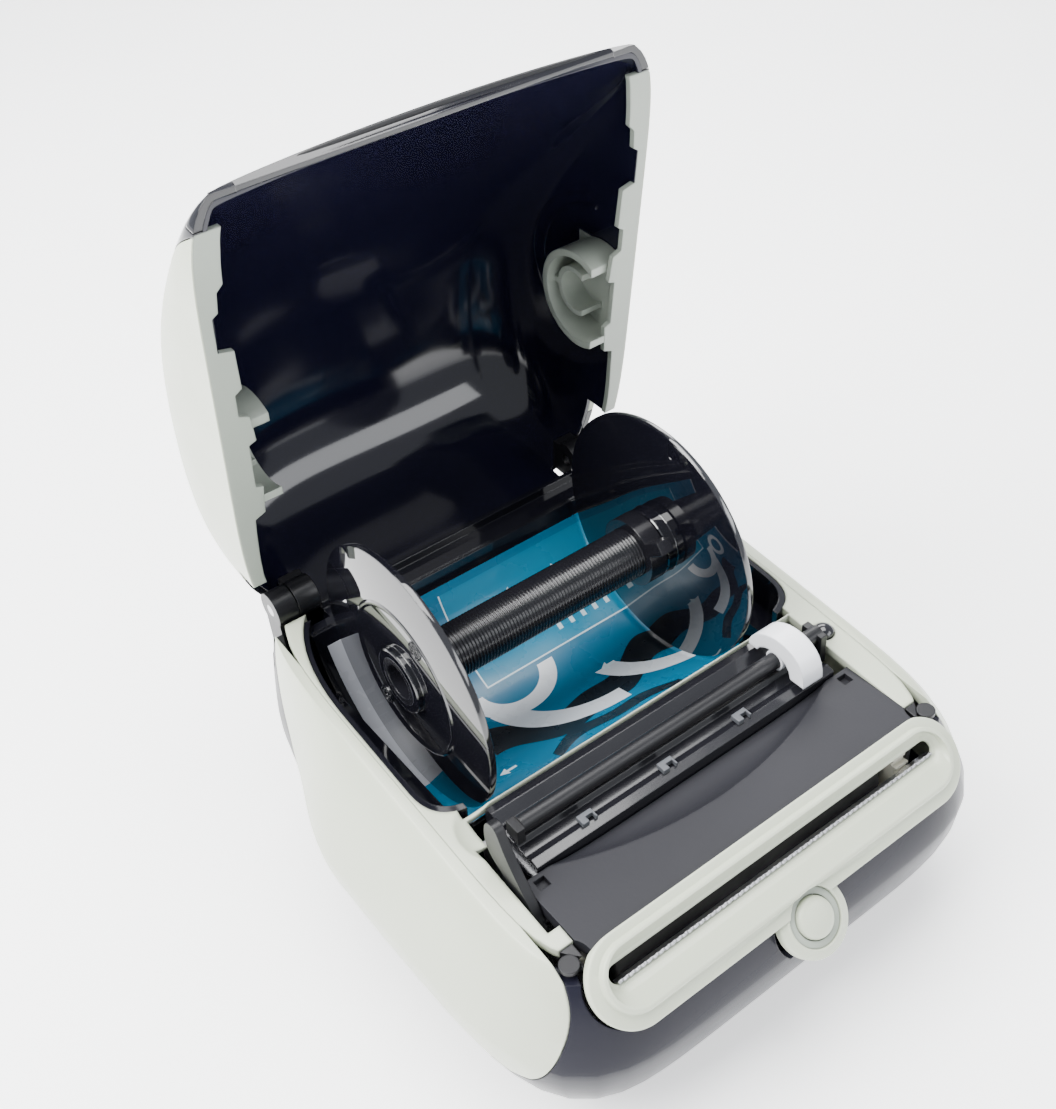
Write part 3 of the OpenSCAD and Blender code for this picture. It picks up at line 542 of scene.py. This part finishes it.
def label_material():
    """Printed sheet with generic shapes: a teal ground with a paler panel, rule lines, curved
    strips, arrows and dark waves, and a left margin whose white paper is painted grey as shade."""
    material, tree, shader, place = start_material("label_print")
    split = tree.nodes.new("ShaderNodeSeparateXYZ")
    tree.links.new(place.outputs["UV"], split.inputs[0])
    u, v = Value(tree, split.outputs["X"]), Value(tree, split.outputs["Y"])

    def arc(cx, cy, r0, r1):
        away = ((u - cx) * (u - cx) + (v - cy) * (v - cy)).math("SQRT")
        return away.between(r0, r1)

    def bar(u0, u1, v0, v1):
        return u.between(u0, u1) * v.between(v0, v1)

    def arrow(cx, cy, length, turn=1):
        x = (u - cx) * turn
        head = x.between(0, length * 0.5) * ((v - cy).size() + x * 0.8).below(length * 0.42)
        stem = x.between(-length * 0.6, 0.0) * (v - cy).size().below(length * 0.12)
        return head.either(stem)

    wave = (u * 9.0).sine() * 0.05 + (u * 23.0 + 1.2).sine() * 0.018
    ground = mix(tree, noise(tree, place, 12), (0.0, 0.135, 0.255), (0.0, 0.155, 0.285))
    panel = bar(0.36, 0.97, 0.60, 0.97)
    art = mix(tree, panel.socket, ground, (0.0, 0.21, 0.36))
    dark = (v - wave).between(0.30, 0.42) * u.between(0.24, 0.92)
    dark = dark.either((v + wave).between(0.135, 0.20) * u.between(0.34, 0.78))
    art = mix(tree, dark.socket, art, (0.008, 0.010, 0.014))
    lines = bar(0.36, 0.97, 0.600, 0.606).either(bar(0.36, 0.365, 0.60, 0.97))
    lines = lines.either(bar(0.05, 0.97, 0.735, 0.739))
    for k in range(5):
        lines = lines.either(bar(0.66 + 0.045 * k, 0.675 + 0.045 * k, 0.655, 0.715))
    art = mix(tree, (lines * 0.85).socket, art, (0.72, 0.86, 0.90))
    strips = arc(0.43, 0.60, 0.10, 0.155) * v.below(0.585)
    strips = strips.either(arc(0.66, 0.62, 0.30, 0.372) * u.below(0.66) * v.below(0.50))
    strips = strips.either(arc(0.98, 0.60, 0.30, 0.365) * u.below(0.93) * v.below(0.44))
    strips = strips.either(arc(0.205, 0.56, 0.045, 0.075))
    shade = mix(tree, (v * 1.6).fraction().socket, (0.62, 0.66, 0.72), (0.86, 0.88, 0.90))
    art = mix(tree, strips.socket, art, shade)
    arrows = arrow(0.58, 0.86, 0.05,
                   -1).either(arrow(0.74, 0.86, 0.05)).either(arrow(0.50, 0.11, 0.05))
    arrows = arrows.either(arrow(0.70, 0.44, 0.045, -1)).either(arrow(0.86, 0.12, 0.05))
    arrows = arrows.either(arrow(0.22, 0.25, 0.05, -1))
    art = mix(tree, arrows.socket, art, (0.80, 0.90, 0.93))
    # Left margin outside the left flange: the label's white paper, painted grey as the shade that
    # falls on it there
    shaded_margin = bar(-0.1, 0.045, 0.40, 1.1)
    art = mix(tree, shaded_margin.socket, art, (0.42, 0.43, 0.47))
    tree.links.new(art, shader.inputs["Base Color"])
    tree.links.new(spread(tree, noise(tree, place, 80), 0.22, 0.34), shader.inputs["Roughness"])
    shader.inputs["Coat Weight"].default_value = 0.12
    relief(tree, shader, noise(tree, place, 1400), 0.1, 0.00003, 0)
    return material


def floor_material():
    material, tree, shader, place = start_material("floor")
    base = mix(tree, noise(tree, place, 1.5), (0.965, 0.965, 0.97), (0.98, 0.98, 0.982))
    tree.links.new(base, shader.inputs["Base Color"])
    tree.links.new(spread(tree, noise(tree, place, 9), 0.5, 0.6), shader.inputs["Roughness"])
    shader.inputs["Emission Color"].default_value = (1, 1, 1, 1)
    shader.inputs["Emission Strength"].default_value = 0.9
    relief(tree, shader, noise(tree, place, 260), 0.15, 0.0002, 0)
    return material


CREAM, CREAM_SHADE = (0.47, 0.505, 0.40), (0.45, 0.485, 0.38)


def look(*colours_and_gloss, **more):
    return colours_and_gloss, more


# Two colours and a range of gloss each, named as the record's slots. bar_gloss, cream_soft and
# flange_gloss are other looks that some pieces in those slots have
LOOKS = {
    "black_matte": look((0.005, 0.005, 0.006), (0.008, 0.008, 0.010), (0.34, 0.44), depth=0.5,
                        specular=0.35),
    "bumper": look((0.007, 0.007, 0.013), (0.009, 0.009, 0.016), (0.20, 0.27), depth=0.1,
                   specular=0.15),
    "bar_gloss": look((0.006, 0.006, 0.008), (0.009, 0.009, 0.012), (0.16, 0.24), depth=0.15,
                      coat=0.2),
    "cream": look(CREAM, CREAM_SHADE, (0.33, 0.41), depth=0.3, bevel=0.0005, coat=0.12),
    "cream_soft": look(CREAM, CREAM_SHADE, (0.33, 0.41), depth=0.3, bevel=0.0016, coat=0.12),
    "black_gloss": look((0.004, 0.004, 0.007), (0.006, 0.006, 0.009), (0.05, 0.09), depth=0.04,
                        coat=0.3),
    "liner": look((0.004, 0.004, 0.012), (0.006, 0.006, 0.016), (0.07, 0.11), depth=0.05,
                  bevel=0.0004),
    "deck_grey": look((0.013, 0.013, 0.016), (0.017, 0.017, 0.021), (0.38, 0.48), depth=0.6,
                      specular=0.22),
    "clip_grey": look((0.06, 0.064, 0.072), (0.075, 0.08, 0.09), (0.3, 0.4)),
    "steel": look((0.50, 0.50, 0.52), (0.40, 0.40, 0.42), (0.22, 0.34), metallic=1.0,
                  stretch=(0.1, 1, 1)),
    "guide_white": look((0.78, 0.79, 0.83), (0.74, 0.75, 0.79), (0.28, 0.36), bevel=0.0009,
                        coat=0.2),
    "rubber": look((0.012, 0.012, 0.012), (0.022, 0.022, 0.022), (0.6, 0.75), depth=0.8),
    "gear_nylon": look((0.70, 0.68, 0.58), (0.64, 0.62, 0.52), (0.35, 0.45)),
    "brass": look((0.62, 0.46, 0.18), (0.54, 0.39, 0.14), (0.22, 0.34), metallic=1.0),
    "motor_steel": look((0.30, 0.31, 0.33), (0.24, 0.25, 0.27), (0.3, 0.42), metallic=0.9),
    "ceramic": look((0.70, 0.66, 0.56), (0.60, 0.56, 0.46), (0.2, 0.3)),
    "aluminium": look((0.58, 0.59, 0.60), (0.50, 0.51, 0.52), (0.25, 0.38), metallic=1.0),
    "board": look((0.012, 0.11, 0.05), (0.02, 0.14, 0.065), (0.25, 0.4), grain=300, depth=0.4),
    "cable_white": look((0.68, 0.68, 0.66), (0.58, 0.58, 0.56), (0.4, 0.5), stretch=(1, 1, 6)),
    "pale_grey": look((0.30, 0.33, 0.285), (0.275, 0.305, 0.26), (0.30, 0.38), bevel=0.0007,
                      coat=0.15),
    "smoke": look((0.004, 0.004, 0.007), (0.006, 0.006, 0.009), (0.015, 0.035), depth=0.02,
                  ior=1.95),
    "flange_gloss": look((0.003, 0.003, 0.005), (0.005, 0.005, 0.007), (0.015, 0.035), depth=0.02,
                         ior=1.75),
}
MATERIALS = {name: plastic(name, *given, **more) for name, (given, more) in LOOKS.items()}
MATERIALS["label_paper"] = label_material()


def finish_piece(piece, body, slot, nodes=(), angle=32.0, material=None):
    """Shading, material and body. The material is the slot's look unless one is given, and the CAD
    nodes that the piece stands for are hidden.
    """
    piece.data.shade_smooth()
    piece.data.set_sharp_from_angle(angle=math.radians(angle))
    piece.data.materials.clear()
    piece.data.materials.append(material or MATERIALS[slot])
    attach(piece, body)
    if nodes:
        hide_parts(*nodes)


# ---- Camera, light and floor ----

def aim(thing, azimuth, elevation, roll, location):
    """Points a camera or lamp: azimuth 0 looks along +Y, a negative elevation looks down."""
    az, el, r = (math.radians(v) for v in (azimuth, elevation, roll))
    ahead = Vector((math.sin(az) * math.cos(el), math.cos(az) * math.cos(el), math.sin(el)))
    right = Vector((math.cos(az), -math.sin(az), 0))
    up = right.cross(ahead)
    right, up = right * math.cos(r) + up * math.sin(r), up * math.cos(r) - right * math.sin(r)
    turned = Matrix((right, up, -ahead)).transposed().to_4x4()
    turned.translation = location
    thing.matrix_world = turned


# Fitted to the photo's outlines
CAMERA_AT = Vector((-0.1755, -0.2475, 0.3676))
AZIMUTH, ELEVATION, ROLL = 33.78, -40.25, -4.99
SENSOR, LENS = 36, 43.82

camera = add("camera", bpy.data.cameras.new("camera"))
camera.data.sensor_width, camera.data.lens, camera.data.clip_start = SENSOR, LENS, 0.01
aim(camera, AZIMUTH, ELEVATION, ROLL, CAMERA_AT)
bpy.context.scene.camera = camera


def area_light(name, azimuth, elevation, distance, size, power, tint=(1, 1, 1)):
    """Lamp above the object in degrees and metres, seen from there, aimed at its middle."""
    lamp = bpy.data.lights.new(name, "AREA")
    lamp.shape, lamp.size, lamp.size_y = "RECTANGLE", size[0], size[1]
    lamp.energy, lamp.color = power, tint
    az, el = math.radians(azimuth), math.radians(elevation)
    away = Vector((math.sin(az) * math.cos(el), math.cos(az) * math.cos(el), math.sin(el)))
    aim(add(name, lamp), azimuth + 180, -elevation, 0, Vector((0, 0, 0.09)) + distance * away)


area_light("key_left", -75, 48, 1.15, (0.9, 0.7), 40, (1.0, 1.0, 0.985))
area_light("top_soft", 20, 82, 1.2, (1.0, 0.8), 26)
area_light("front_fill", 150, 30, 1.4, (0.9, 0.5), 9, (0.96, 0.98, 1.0))
area_light("rear_rim", 35, 35, 1.3, (1.0, 0.5), 14)

world = bpy.data.worlds.new("studio")
bpy.context.scene.world = world
world.use_nodes = True
sky = world.node_tree.nodes["Background"].inputs
sky["Color"].default_value = (0.90, 0.94, 1.0, 1)
sky["Strength"].default_value = 0.9

FLOOR = 3000
corners = [(-FLOOR, -FLOOR, 0), (FLOOR, -FLOOR, 0), (FLOOR, FLOOR, 0), (-FLOOR, FLOOR, 0)]
floor = new_piece("floor", corners, [(0, 1, 2, 3)])
floor.data.materials.append(floor_material())

# ---- Base housing ----

def base_hollow(name):
    return boolean(base_solid(name), [base_solid("inner", WALL, HOLLOW_LIFT)])


def base_shell(name):
    """The same ring, open above the shoulder for the well and the deck."""
    top = prism("top", plan_points(plan_angles(), WALL + 0.5), 62, 102)
    return boolean(base_solid(name), [base_solid("inner", WALL, HOLLOW_LIFT), top])


def below_rim(gap):
    w = 130
    square = [(-w, -w), (w, -w), (w, w), (-w, w)]
    return prism("below", square, -20, lambda y: rim_z(y) - gap)


def leaf_cuts():
    return [side_prism(base_leaf(GAP), side, LEAF_X - GAP) for side, _ in SIDES]


def bezel_space(grow):
    """Room for the bezel's ring and for the tab with the feed button."""
    ring = stadium(BEZEL_HALF_W + grow, BEZEL_HALF_H + grow)
    tab = stadium(TAB_R + 0.01 + grow, TAB_R + grow)
    return [
        loft(name, [on_face(outline, out, at) for out in (-9.0, 15.0)])
        for name, outline, at in (("ring", ring, BEZEL_MID), ("tab", tab, BUTTON_AT))
    ]


def build_base():
    shell = base_shell("lower_shell_skin")
    for keep in (block("keep", -FAR, FAR, -61.2, FAR, BUMPER_LOW_Z, FAR), below_rim(3)):
        boolean(shell, [keep], "INTERSECT")
    cuts = leaf_cuts() + [
        block("rear", -FAR, FAR, REAR_CUT_Y, FAR, REAR_DECK_Z, FAR),
        block("data_port", -6.5, 6.5, 80, 100, 11, 23.2),
        block("power_port", 24.9, 37.1, 80, 100, 11, 23.8),
    ]
    cuts += side_blocks(59.5, 67.5, 66, 82, 59.9, 70)
    finish_piece(boolean(shell, cuts), "root", "black_matte", ["lower_shell"])

    bumper = base_hollow("front_bumper_skin")
    keep = block("keep", -FAR, FAR, -FAR, BUMPER_REAR_Y, BUMPER_LOW_Z, 68)
    boolean(bumper, [keep], "INTERSECT")
    cuts = leaf_cuts() + bezel_space(GAP) + [
        block("slot", -64.5, 64.5, -90, -50, 60, 100), block("top", -FAR, FAR, -84, -50, 64.5, 100)
    ]
    finish_piece(boolean(bumper, cuts), "root", "bumper", ["front_bumper"])

    for side, name in SIDES:
        panel = base_shell(f"side_panel_{name}_skin")
        for tool in (
            side_prism(base_leaf(0), side, LEAF_X),
            below_rim(0.05),
            block("keep", -FAR, FAR, -FAR, 67.5, 0, FAR),
        ):
            boolean(panel, [tool], "INTERSECT")
        finish_piece(panel, "root", "cream", [f"side_panel_{name}"])

    outline = plan_points(plan_angles(), WALL + 0.6)
    rim = prism("rim_housing", outline, lambda y: rim_z(y) - 3, rim_z)
    boolean(rim, [block("keep", -FAR, FAR, CORNER_Y, REAR_CUT_Y, 0, FAR)], "INTERSECT")
    boolean(rim, [
        prism("well", well_outline(0), 0, FAR),
        rod("spool", FLANGE_R + 1.6, -63, 63, SPOOL_Y, SPOOL_Z),
        block("deck", -DECK_HALF_W - GAP, DECK_HALF_W + GAP, -90, -24.5, 40, FAR),
        block("lever", -66.1, -60.5, -66, -34, 40, FAR),
        prism("eject", circle(65.7, -36, 3.6), 40, 100),
        ellipsoid("dish", (-60.5, -33, rim_z(-33) + 9.5), (13, 17, 12)),
    ])
    finish_piece(rim, "root", "cream", ["upper_housing"], material=MATERIALS["cream_soft"])


def grid_border(columns, rows):
    """Point numbers round the border of a grid that is stored row by row."""
    row = columns + 1
    border = list(range(row)) + [j * row + columns for j in range(1, rows + 1)]
    border += [rows * row + i for i in range(columns - 1, -1, -1)]
    return border + [j * row for j in range(rows - 1, 0, -1)]


def grid_faces(columns, rows):
    row = columns + 1
    return [
        (j * row + i, j * row + i + 1, (j + 1) * row + i + 1, (j + 1) * row + i)
        for j in range(rows) for i in range(columns)
    ]


def build_deck():
    """Front deck with the crescent hollow that runs down to the feed bar."""
    scoop_r, scoop_front, scoop_depth, scoop_edge = 123.0, -61.5, 2.6, 3.2
    front, rear, columns, rows, thick = -76.8, -49.5, 220, 70, 4.2
    xs, ys = np.linspace(-DECK_HALF_W, DECK_HALF_W, columns + 1), np.linspace(front, rear, rows + 1)
    gx, gy = np.meshgrid(xs, ys)
    inside = np.maximum(scoop_r - np.hypot(gx, gy - scoop_front - scoop_r), 0)
    depth = scoop_depth * (1 - np.exp(-inside / scoop_edge)) * np.clip(inside / 0.5, 0, 1)
    top = np.column_stack([gx.ravel(), gy.ravel(), (DECK_Z - depth).ravel()])
    edge, base = grid_border(columns, rows), len(top)
    low = top[edge].copy()
    low[:, 2] = DECK_Z - thick
    n = len(edge)
    faces = grid_faces(columns, rows)
    faces += [(edge[(k + 1) % n], edge[k], base + k, base + (k + 1) % n) for k in range(n)]
    faces.append(tuple(base + k for k in range(n)))
    deck = fix_normals(new_piece("deck_cover_skin", np.vstack([top, low]), faces))
    cuts = side_blocks(56, 59.5, -54.5, -51, DECK_Z - 2.0, 80)
    cuts += [prism("screw", circle(side * 67.1, -76, 6.5), 60, 80) for side, _ in SIDES]
    finish_piece(boolean(deck, cuts), "root", "deck_grey", ["deck_cover"])


def build_well():
    """A drum under the spool, with straight walls up to the rim and a ledge behind the drum."""
    front, rear, half_w, floor_z = -24, 72, 60, 60
    well = prism("well_upper", well_outline(-0.1), 58, lambda y: rim_z(y) - 0.4)
    boolean(well, [block("keep", -FAR, FAR, front, rear, 50, FAR)], "INTERSECT")
    drum = rod("drum", WELL_R + 2, -half_w - 2, half_w + 2, SPOOL_Y, SPOOL_Z)
    boolean(drum, [block("keep", -half_w - 2, half_w + 2, front, rear, 0, floor_z)], "INTERSECT")
    boolean(well, [drum], "UNION")
    hollow = prism("hollow", well_outline(-1.8), floor_z, FAR)
    ledge = block("ledge", -60.5, 60.5, SPOOL_Y, 63, -5, 78)
    boolean(ledge, [rod("drum", WELL_R, -100, 100, SPOOL_Y, SPOOL_Z)])
    boolean(hollow, [block("rear", -FAR, FAR, 62.5, 100, 0, 78.5), ledge])
    cuts = [
        hollow,
        rod("spool", WELL_R, -half_w, half_w, SPOOL_Y, SPOOL_Z),
        block("front", -56, 56, -30, -19, 71.4, 100),
    ]
    cuts += side_blocks(51.5, 80, 66, 80, 66, 100)
    finish_piece(boolean(well, cuts), "root", "black_gloss", ["label_well"])


LABEL_FROM, LABEL_TO, LABEL_HALF_W = -52.0, 69.4, 57.0


def build_label():
    """The printed sheet lying in the drum of the well, with its own flat coordinates."""
    n, m = 96, 40
    angles = np.radians(np.linspace(LABEL_FROM, LABEL_TO, n + 1))
    xs = np.linspace(-LABEL_HALF_W, LABEL_HALF_W, m + 1)
    points, uvs = [], []
    for r in (WELL_R - 0.32, WELL_R - 0.08):
        for i, a in enumerate(angles):
            for j, x in enumerate(xs):
                points.append((x, SPOOL_Y + r * math.sin(a), SPOOL_Z - r * math.cos(a)))
                uvs.append((j / m, i / n))
    layer = (n + 1) * (m + 1)
    faces = []
    for upper in grid_faces(m, n):
        faces += [upper, tuple(layer + k for k in reversed(upper))]
    edge = grid_border(m, n)
    faces += [(b, a, layer + a, layer + b) for a, b in zip(edge, edge[1:] + edge[:1])]
    piece = new_piece("reference_label_sheet", points, faces)
    flat = piece.data.uv_layers.new(name="flat")
    for loop in piece.data.loops:
        flat.data[loop.index].uv = uvs[loop.vertex_index]
    finish_piece(piece, "root", "label_paper", ["reference_label"])


# ---- Front bezel ----

def round_rings(stages, steps):
    """Rings round the feed button from stages of (radius, height out of the face)."""
    return [on_face(stadium(r + 0.01, r, steps), out, BUTTON_AT) for r, out in stages]


def build_bezel():
    w, h, sw = BEZEL_HALF_W, BEZEL_HALF_H, SLOT_HALF_W
    c, s = math.cos(FACE_TILT), math.sin(FACE_TILT)
    dy, dz = SLOT_Y - BEZEL_MID[0], SLOT_Z - BEZEL_MID[1]
    slot_up, slot_out = dy * c + dz * s, dz * c - dy * s
    up = 0.4 * slot_up
    # half width, half height, shift up the face, height out of it: outer edge, ridge, then slot
    stages = [
        (w, h, 0, -2.5), (w, h, 0, -0.6), (w - 0.3, h - 0.3, 0, -0.1), (w - 0.8, h - 0.8, 0, 0.05),
        (w - 3.3, h - 3.2, up * 0.5, 0.05), (w - 3.5, h - 3.4, up * 0.6, 0.2),
        (w - 3.7, h - 3.6, up * 0.7, 1.5), (w - 4.0, h - 3.9, up * 0.8, 1.95),
        (w - 4.5, h - 4.3, up, 2.1), (w - 5.4, h - 5.0, up, 2.05),
        (sw + 3.4, 5.2, slot_up, slot_out + 1.5), (sw + 2.9, 4.6, slot_up, slot_out + 1.2),
        (sw + 2.6, 4.1, slot_up, slot_out + 0.4), (sw + 2.2, 3.5, slot_up, slot_out + 0.1),
        (sw + 1.5, 2.8, slot_up, slot_out - 0.1), (sw + 1.4, 2.55, slot_up, slot_out - 0.5),
        (sw + 1.4, 2.55, slot_up, -2.5),
    ]
    rings = []
    for half_w, half_h, shift, out in stages:
        rings.append(on_face(stadium(half_w, half_h, 36) + np.array([0, shift]), out, BEZEL_MID))
    body = loft("front_bezel_skin", rings, closed=True)
    tab = loft("tab", round_rings([
        (TAB_R, -2.5), (TAB_R, -0.4), (11.2, 0.2), (10.6, 0.5), (9.6, 0.6), (9.3, 0.9),
        (8.9, 1.05), (8.4, 0.9), (8.4, -2.5),
    ], 36), closed=True)
    boolean(body, [loft("hole", round_rings([(8.4, -12), (8.4, 18)], 36))])
    boolean(body, [tab], "UNION")
    boolean(body, [block("behind", -100, 100, -77.6, -40, 40, 100)])
    finish_piece(body, "root", "cream", ["front_bezel"], angle=45)

    cap = loft("feed_button_cap", round_rings([
        (0.6, 2.55), (2.5, 2.5), (4.2, 2.35), (5.2, 2.0), (5.75, 1.4), (6.0, 0.6), (6.0, -2.2),
    ], 30))
    finish_piece(cap, "feed_key", "cream", ["feed_button"], angle=45)


# ---- Lid ----

def front_trim():
    return [block("front", -FAR, FAR, -FAR, -66, 0, DECK_Z + 0.4, lid=True)]


def rear_trim():
    """Room for the hinges, and the straight rear edge."""
    return side_blocks(51, FAR, 60, FAR, 0, 91.5, lid=True) + [
        block("rear", -FAR, FAR, 70, 100, 0, 85, lid=True)
    ]


def lid_trim():
    return front_trim() + rear_trim()


def tube(name, centres, r, sides=12):
    """Rounded line along points of the closed lid."""
    c = np.array(centres, float)
    ahead = np.gradient(c, axis=0)
    ahead /= np.linalg.norm(ahead, axis=1)[:, None]
    a, rings = full_turn(sides)[:, None], []
    for p, t in zip(c, ahead):
        side = np.cross(t, (0, 0, 1.0)) if abs(t[2]) < 0.9 else np.cross(t, (1.0, 0, 0))
        side /= np.linalg.norm(side)
        rings.append(p + r * (np.cos(a) * side + np.sin(a) * np.cross(side, t)))
    return loft(name, rings, lid=True)


def wall_ridge(side, radius, thick, start, end, steps=48):
    """A raised moulded line on the lid's inner wall, following a circle drawn in its side view."""
    centres = []
    for a in np.radians(np.linspace(start, end, steps)):
        y, z = CRADLE_Y + radius * math.cos(a), CRADLE_Z + 6 + radius * math.sin(a)
        x = lid_wall_x(y, z, LINER_INSET + LINER_WALL)
        centres.append((side * (x + 0.15 * thick), y, z))
    return tube("ridge", centres, thick)


# Width of the stepped rim along each side of the lid, as (y, width) from front to rear
RIM_STEPS = [
    (-66.4, 7.4), (-60, 7.7), (-50.5, 7.7), (-48.5, 5.8), (-42.6, 5.4), (-41.4, 3.6), (-30.6, 3.6),
    (-29.4, 8.2), (-16.5, 8.6), (-15.0, 6.4), (-7.5, 6.4), (-6.0, 9.6), (3.0, 10.4), (4.0, 8.0),
    (20, 8.0), (21.0, 10.4), (31, 9.6), (32.5, 6.2), (45, 5.4), (56, 4.6), (64.0, 4.2), (66.2, 6.0),
]


def build_lid_side(side, name):
    panel = lid_solid(f"lid_panel_{name}_skin")
    boolean(panel, [side_prism(lid_leaf(0), side, 40, lid=True)], "INTERSECT")
    boolean(panel, [lid_hollow()] + lid_trim())
    finish_piece(panel, "lid", "cream", [f"lid_panel_{name}"])

    outer, inner = [], []
    for (ya, wa), (yb, wb) in zip(RIM_STEPS, RIM_STEPS[1:]):
        for k in range(4):
            y, wide = ya + (yb - ya) * k / 4, wa + (wb - wa) * k / 4
            outer.append((side * (lid_half(y) - 0.35), y))
            inner.append((side * (lid_half(y) - wide), y))
    low, high = LID_CLEAR - 0.05, 2.3
    rim = prism(f"lid_rim_{name}", outer + inner[::-1], lambda y: rim_z(y) + low,
                lambda y: rim_z(y) + high, lid=True)
    boolean(rim, rear_trim())
    finish_piece(rim, "lid", "pale_grey")

    ridges = [wall_ridge(side, 27, 0.8, 4, 176), wall_ridge(side, 31, 0.5, 10, 170)]
    finish_piece(join(f"lid_wall_ridges_{name}", ridges), "lid", "liner")


def build_lid():
    shell = boolean(lid_solid("lid_shell_skin"), [lid_hollow()])
    cuts = [side_prism(lid_leaf(GAP), side, 30, lid=True) for side, _ in SIDES] + lid_trim()
    cuts += side_blocks(58, FAR, -FAR, -66.7, 0, 84, lid=True)
    finish_piece(boolean(shell, cuts), "lid", "black_gloss", ["lid_shell"])

    liner = boolean(lid_solid("lid_liner_skin", LINER_INSET),
                    [lid_hollow(LINER_INSET + LINER_WALL)])
    finish_piece(boolean(liner, lid_trim()), "lid", "liner", ["lid_liner"])

    for side, name in SIDES:
        build_lid_side(side, name)

    corners = join("corners", side_blocks(58, FAR, -FAR, -67, 60, 84, lid=True))
    blocks = boolean(lid_solid("lid_corner_blocks_skin"), [corners], "INTERSECT")
    boolean(blocks, [lid_hollow(LINER_INSET - 0.05)] + front_trim())
    finish_piece(blocks, "lid", "black_gloss", ["lid_corner_blocks"])

    lips = []
    ring = lid_ring(0.0, 0.0, 0.0, 60)
    for shift, drop, r in ((0.95, 0.1, 0.85), (2.9, 0.5, 0.7)):
        middle = ring[np.abs(ring[:, 0]) < 64.5] + np.array([0, shift, -drop])
        middle[:, 2] = np.maximum(middle[:, 2], DECK_Z + 0.75 + r)
        lips.append(tube("lip", middle, r, 16))
    finish_piece(join("lid_front_lip", lips), "lid", "black_matte")


# ---- Spool ----

def rounded_disc(bore, half=1.1, edge=0.5):
    """Profile of a flange: bore radius, half thickness and rounding."""
    r, small = FLANGE_R, 0.3 * edge
    return [
        (-half, bore), (-half, r - edge), (-half + small, r - small), (-half + edge, r),
        (half - edge, r), (half - small, r - small), (half, r - edge), (half, bore),
    ]


def rosette(x, angle, radius):
    """A small moulded flower of six petals on a flange."""
    a = math.radians(angle)
    cy, cz = SPOOL_Y + radius * math.cos(a), SPOOL_Z + radius * math.sin(a)
    ring = [(-0.25, 2.5), (0.25, 2.5), (0.25, 2.9), (-0.25, 2.9)]
    parts = [lathe("ring", ring, x, cy, cz, 40)]
    for y, z in circle(cy, cz, 1.5, 6):
        parts.append(rod("petal", 0.6, x - 0.3, x + 0.3, y, z, 14))
    return join("rosette", parts)


def build_spool():
    r = SPINDLE_R
    parts = [
        lathe("disc", rounded_disc(r - 0.6), LEFT_X),
        lathe("hub",
              [(-3.2, r - 0.6), (-3.2, r + 1.8), (-2.8, r + 2.2), (-1, r + 2.2), (-1, r - 0.6)],
              LEFT_X),
        lathe("step", [(-1.45, 24.2), (-1.45, 25.0), (-1.05, 25.6), (-1.05, 23.6)], LEFT_X),
    ]
    parts += [rosette(LEFT_X - 1.3, angle, 21) for angle in (118, -52)]
    finish_piece(join("spool_left_flange_skin", parts), "spool", "black_gloss",
                 ["spool_left_flange"], material=MATERIALS["flange_gloss"])

    bore = r + 0.05
    parts = [
        lathe("disc", rounded_disc(bore), RIGHT_X),
        lathe("hub",
              [(-5, bore), (-5, r + 2.6), (-4.6, r + 3), (2.6, r + 3), (3, r + 2.6), (3, bore)],
              RIGHT_X),
    ]
    finish_piece(join("spool_right_flange_skin", parts), "sliding_flange", "smoke",
                 ["spool_right_flange"])

    ribs, pitch = 82, 1.15
    profile = [(LEFT_X - 3.2, r - 2.6), (LEFT_X - 3.2, r - 0.6)]
    for i in range(ribs):
        x = LEFT_X + 2 + i * pitch
        profile += [(x, r - 0.45), (x + 0.15, r - 0.1), (x + 0.3, r)]
        profile += [(x + 0.55, r), (x + 0.7, r - 0.1), (x + 0.85, r - 0.45)]
    profile += [(RIGHT_X + 9, r - 0.6), (RIGHT_X + 9, r - 2.6)]
    finish_piece(lathe("spool_spindle_skin", profile, steps=72), "spool", "black_matte",
                 ["spool_spindle"], angle=50, material=MATERIALS["bar_gloss"])


# ---- CAD parts that keep their shape: smooth copies, each in its slot's look unless it has its own ----

OWN_LOOK = {"feed_plate": "bar_gloss", "spool_lock": "bar_gloss", "button_ring": "pale_grey"}


def slot_of(node):
    return frame["nodes"][node].data.materials[0].name.split(".")[0]


def build_rest():
    for body, members in record["behaviour"]["bodies"].items():
        for node in members:
            cad = frame["nodes"][node]
            if cad.hide_render:
                continue
            data = cad.data.copy()
            if "custom_normal" in data.attributes:
                data.attributes.remove(data.attributes["custom_normal"])
            piece = fix_normals(add(f"{node}_fine", data))
            slot = slot_of(node)
            material = MATERIALS[OWN_LOOK.get(node, slot)]
            finish_piece(piece, body, slot, [node], angle=28, material=material)


build_base()
build_deck()
build_well()
build_label()
build_bezel()
build_lid()
build_spool()
build_rest()
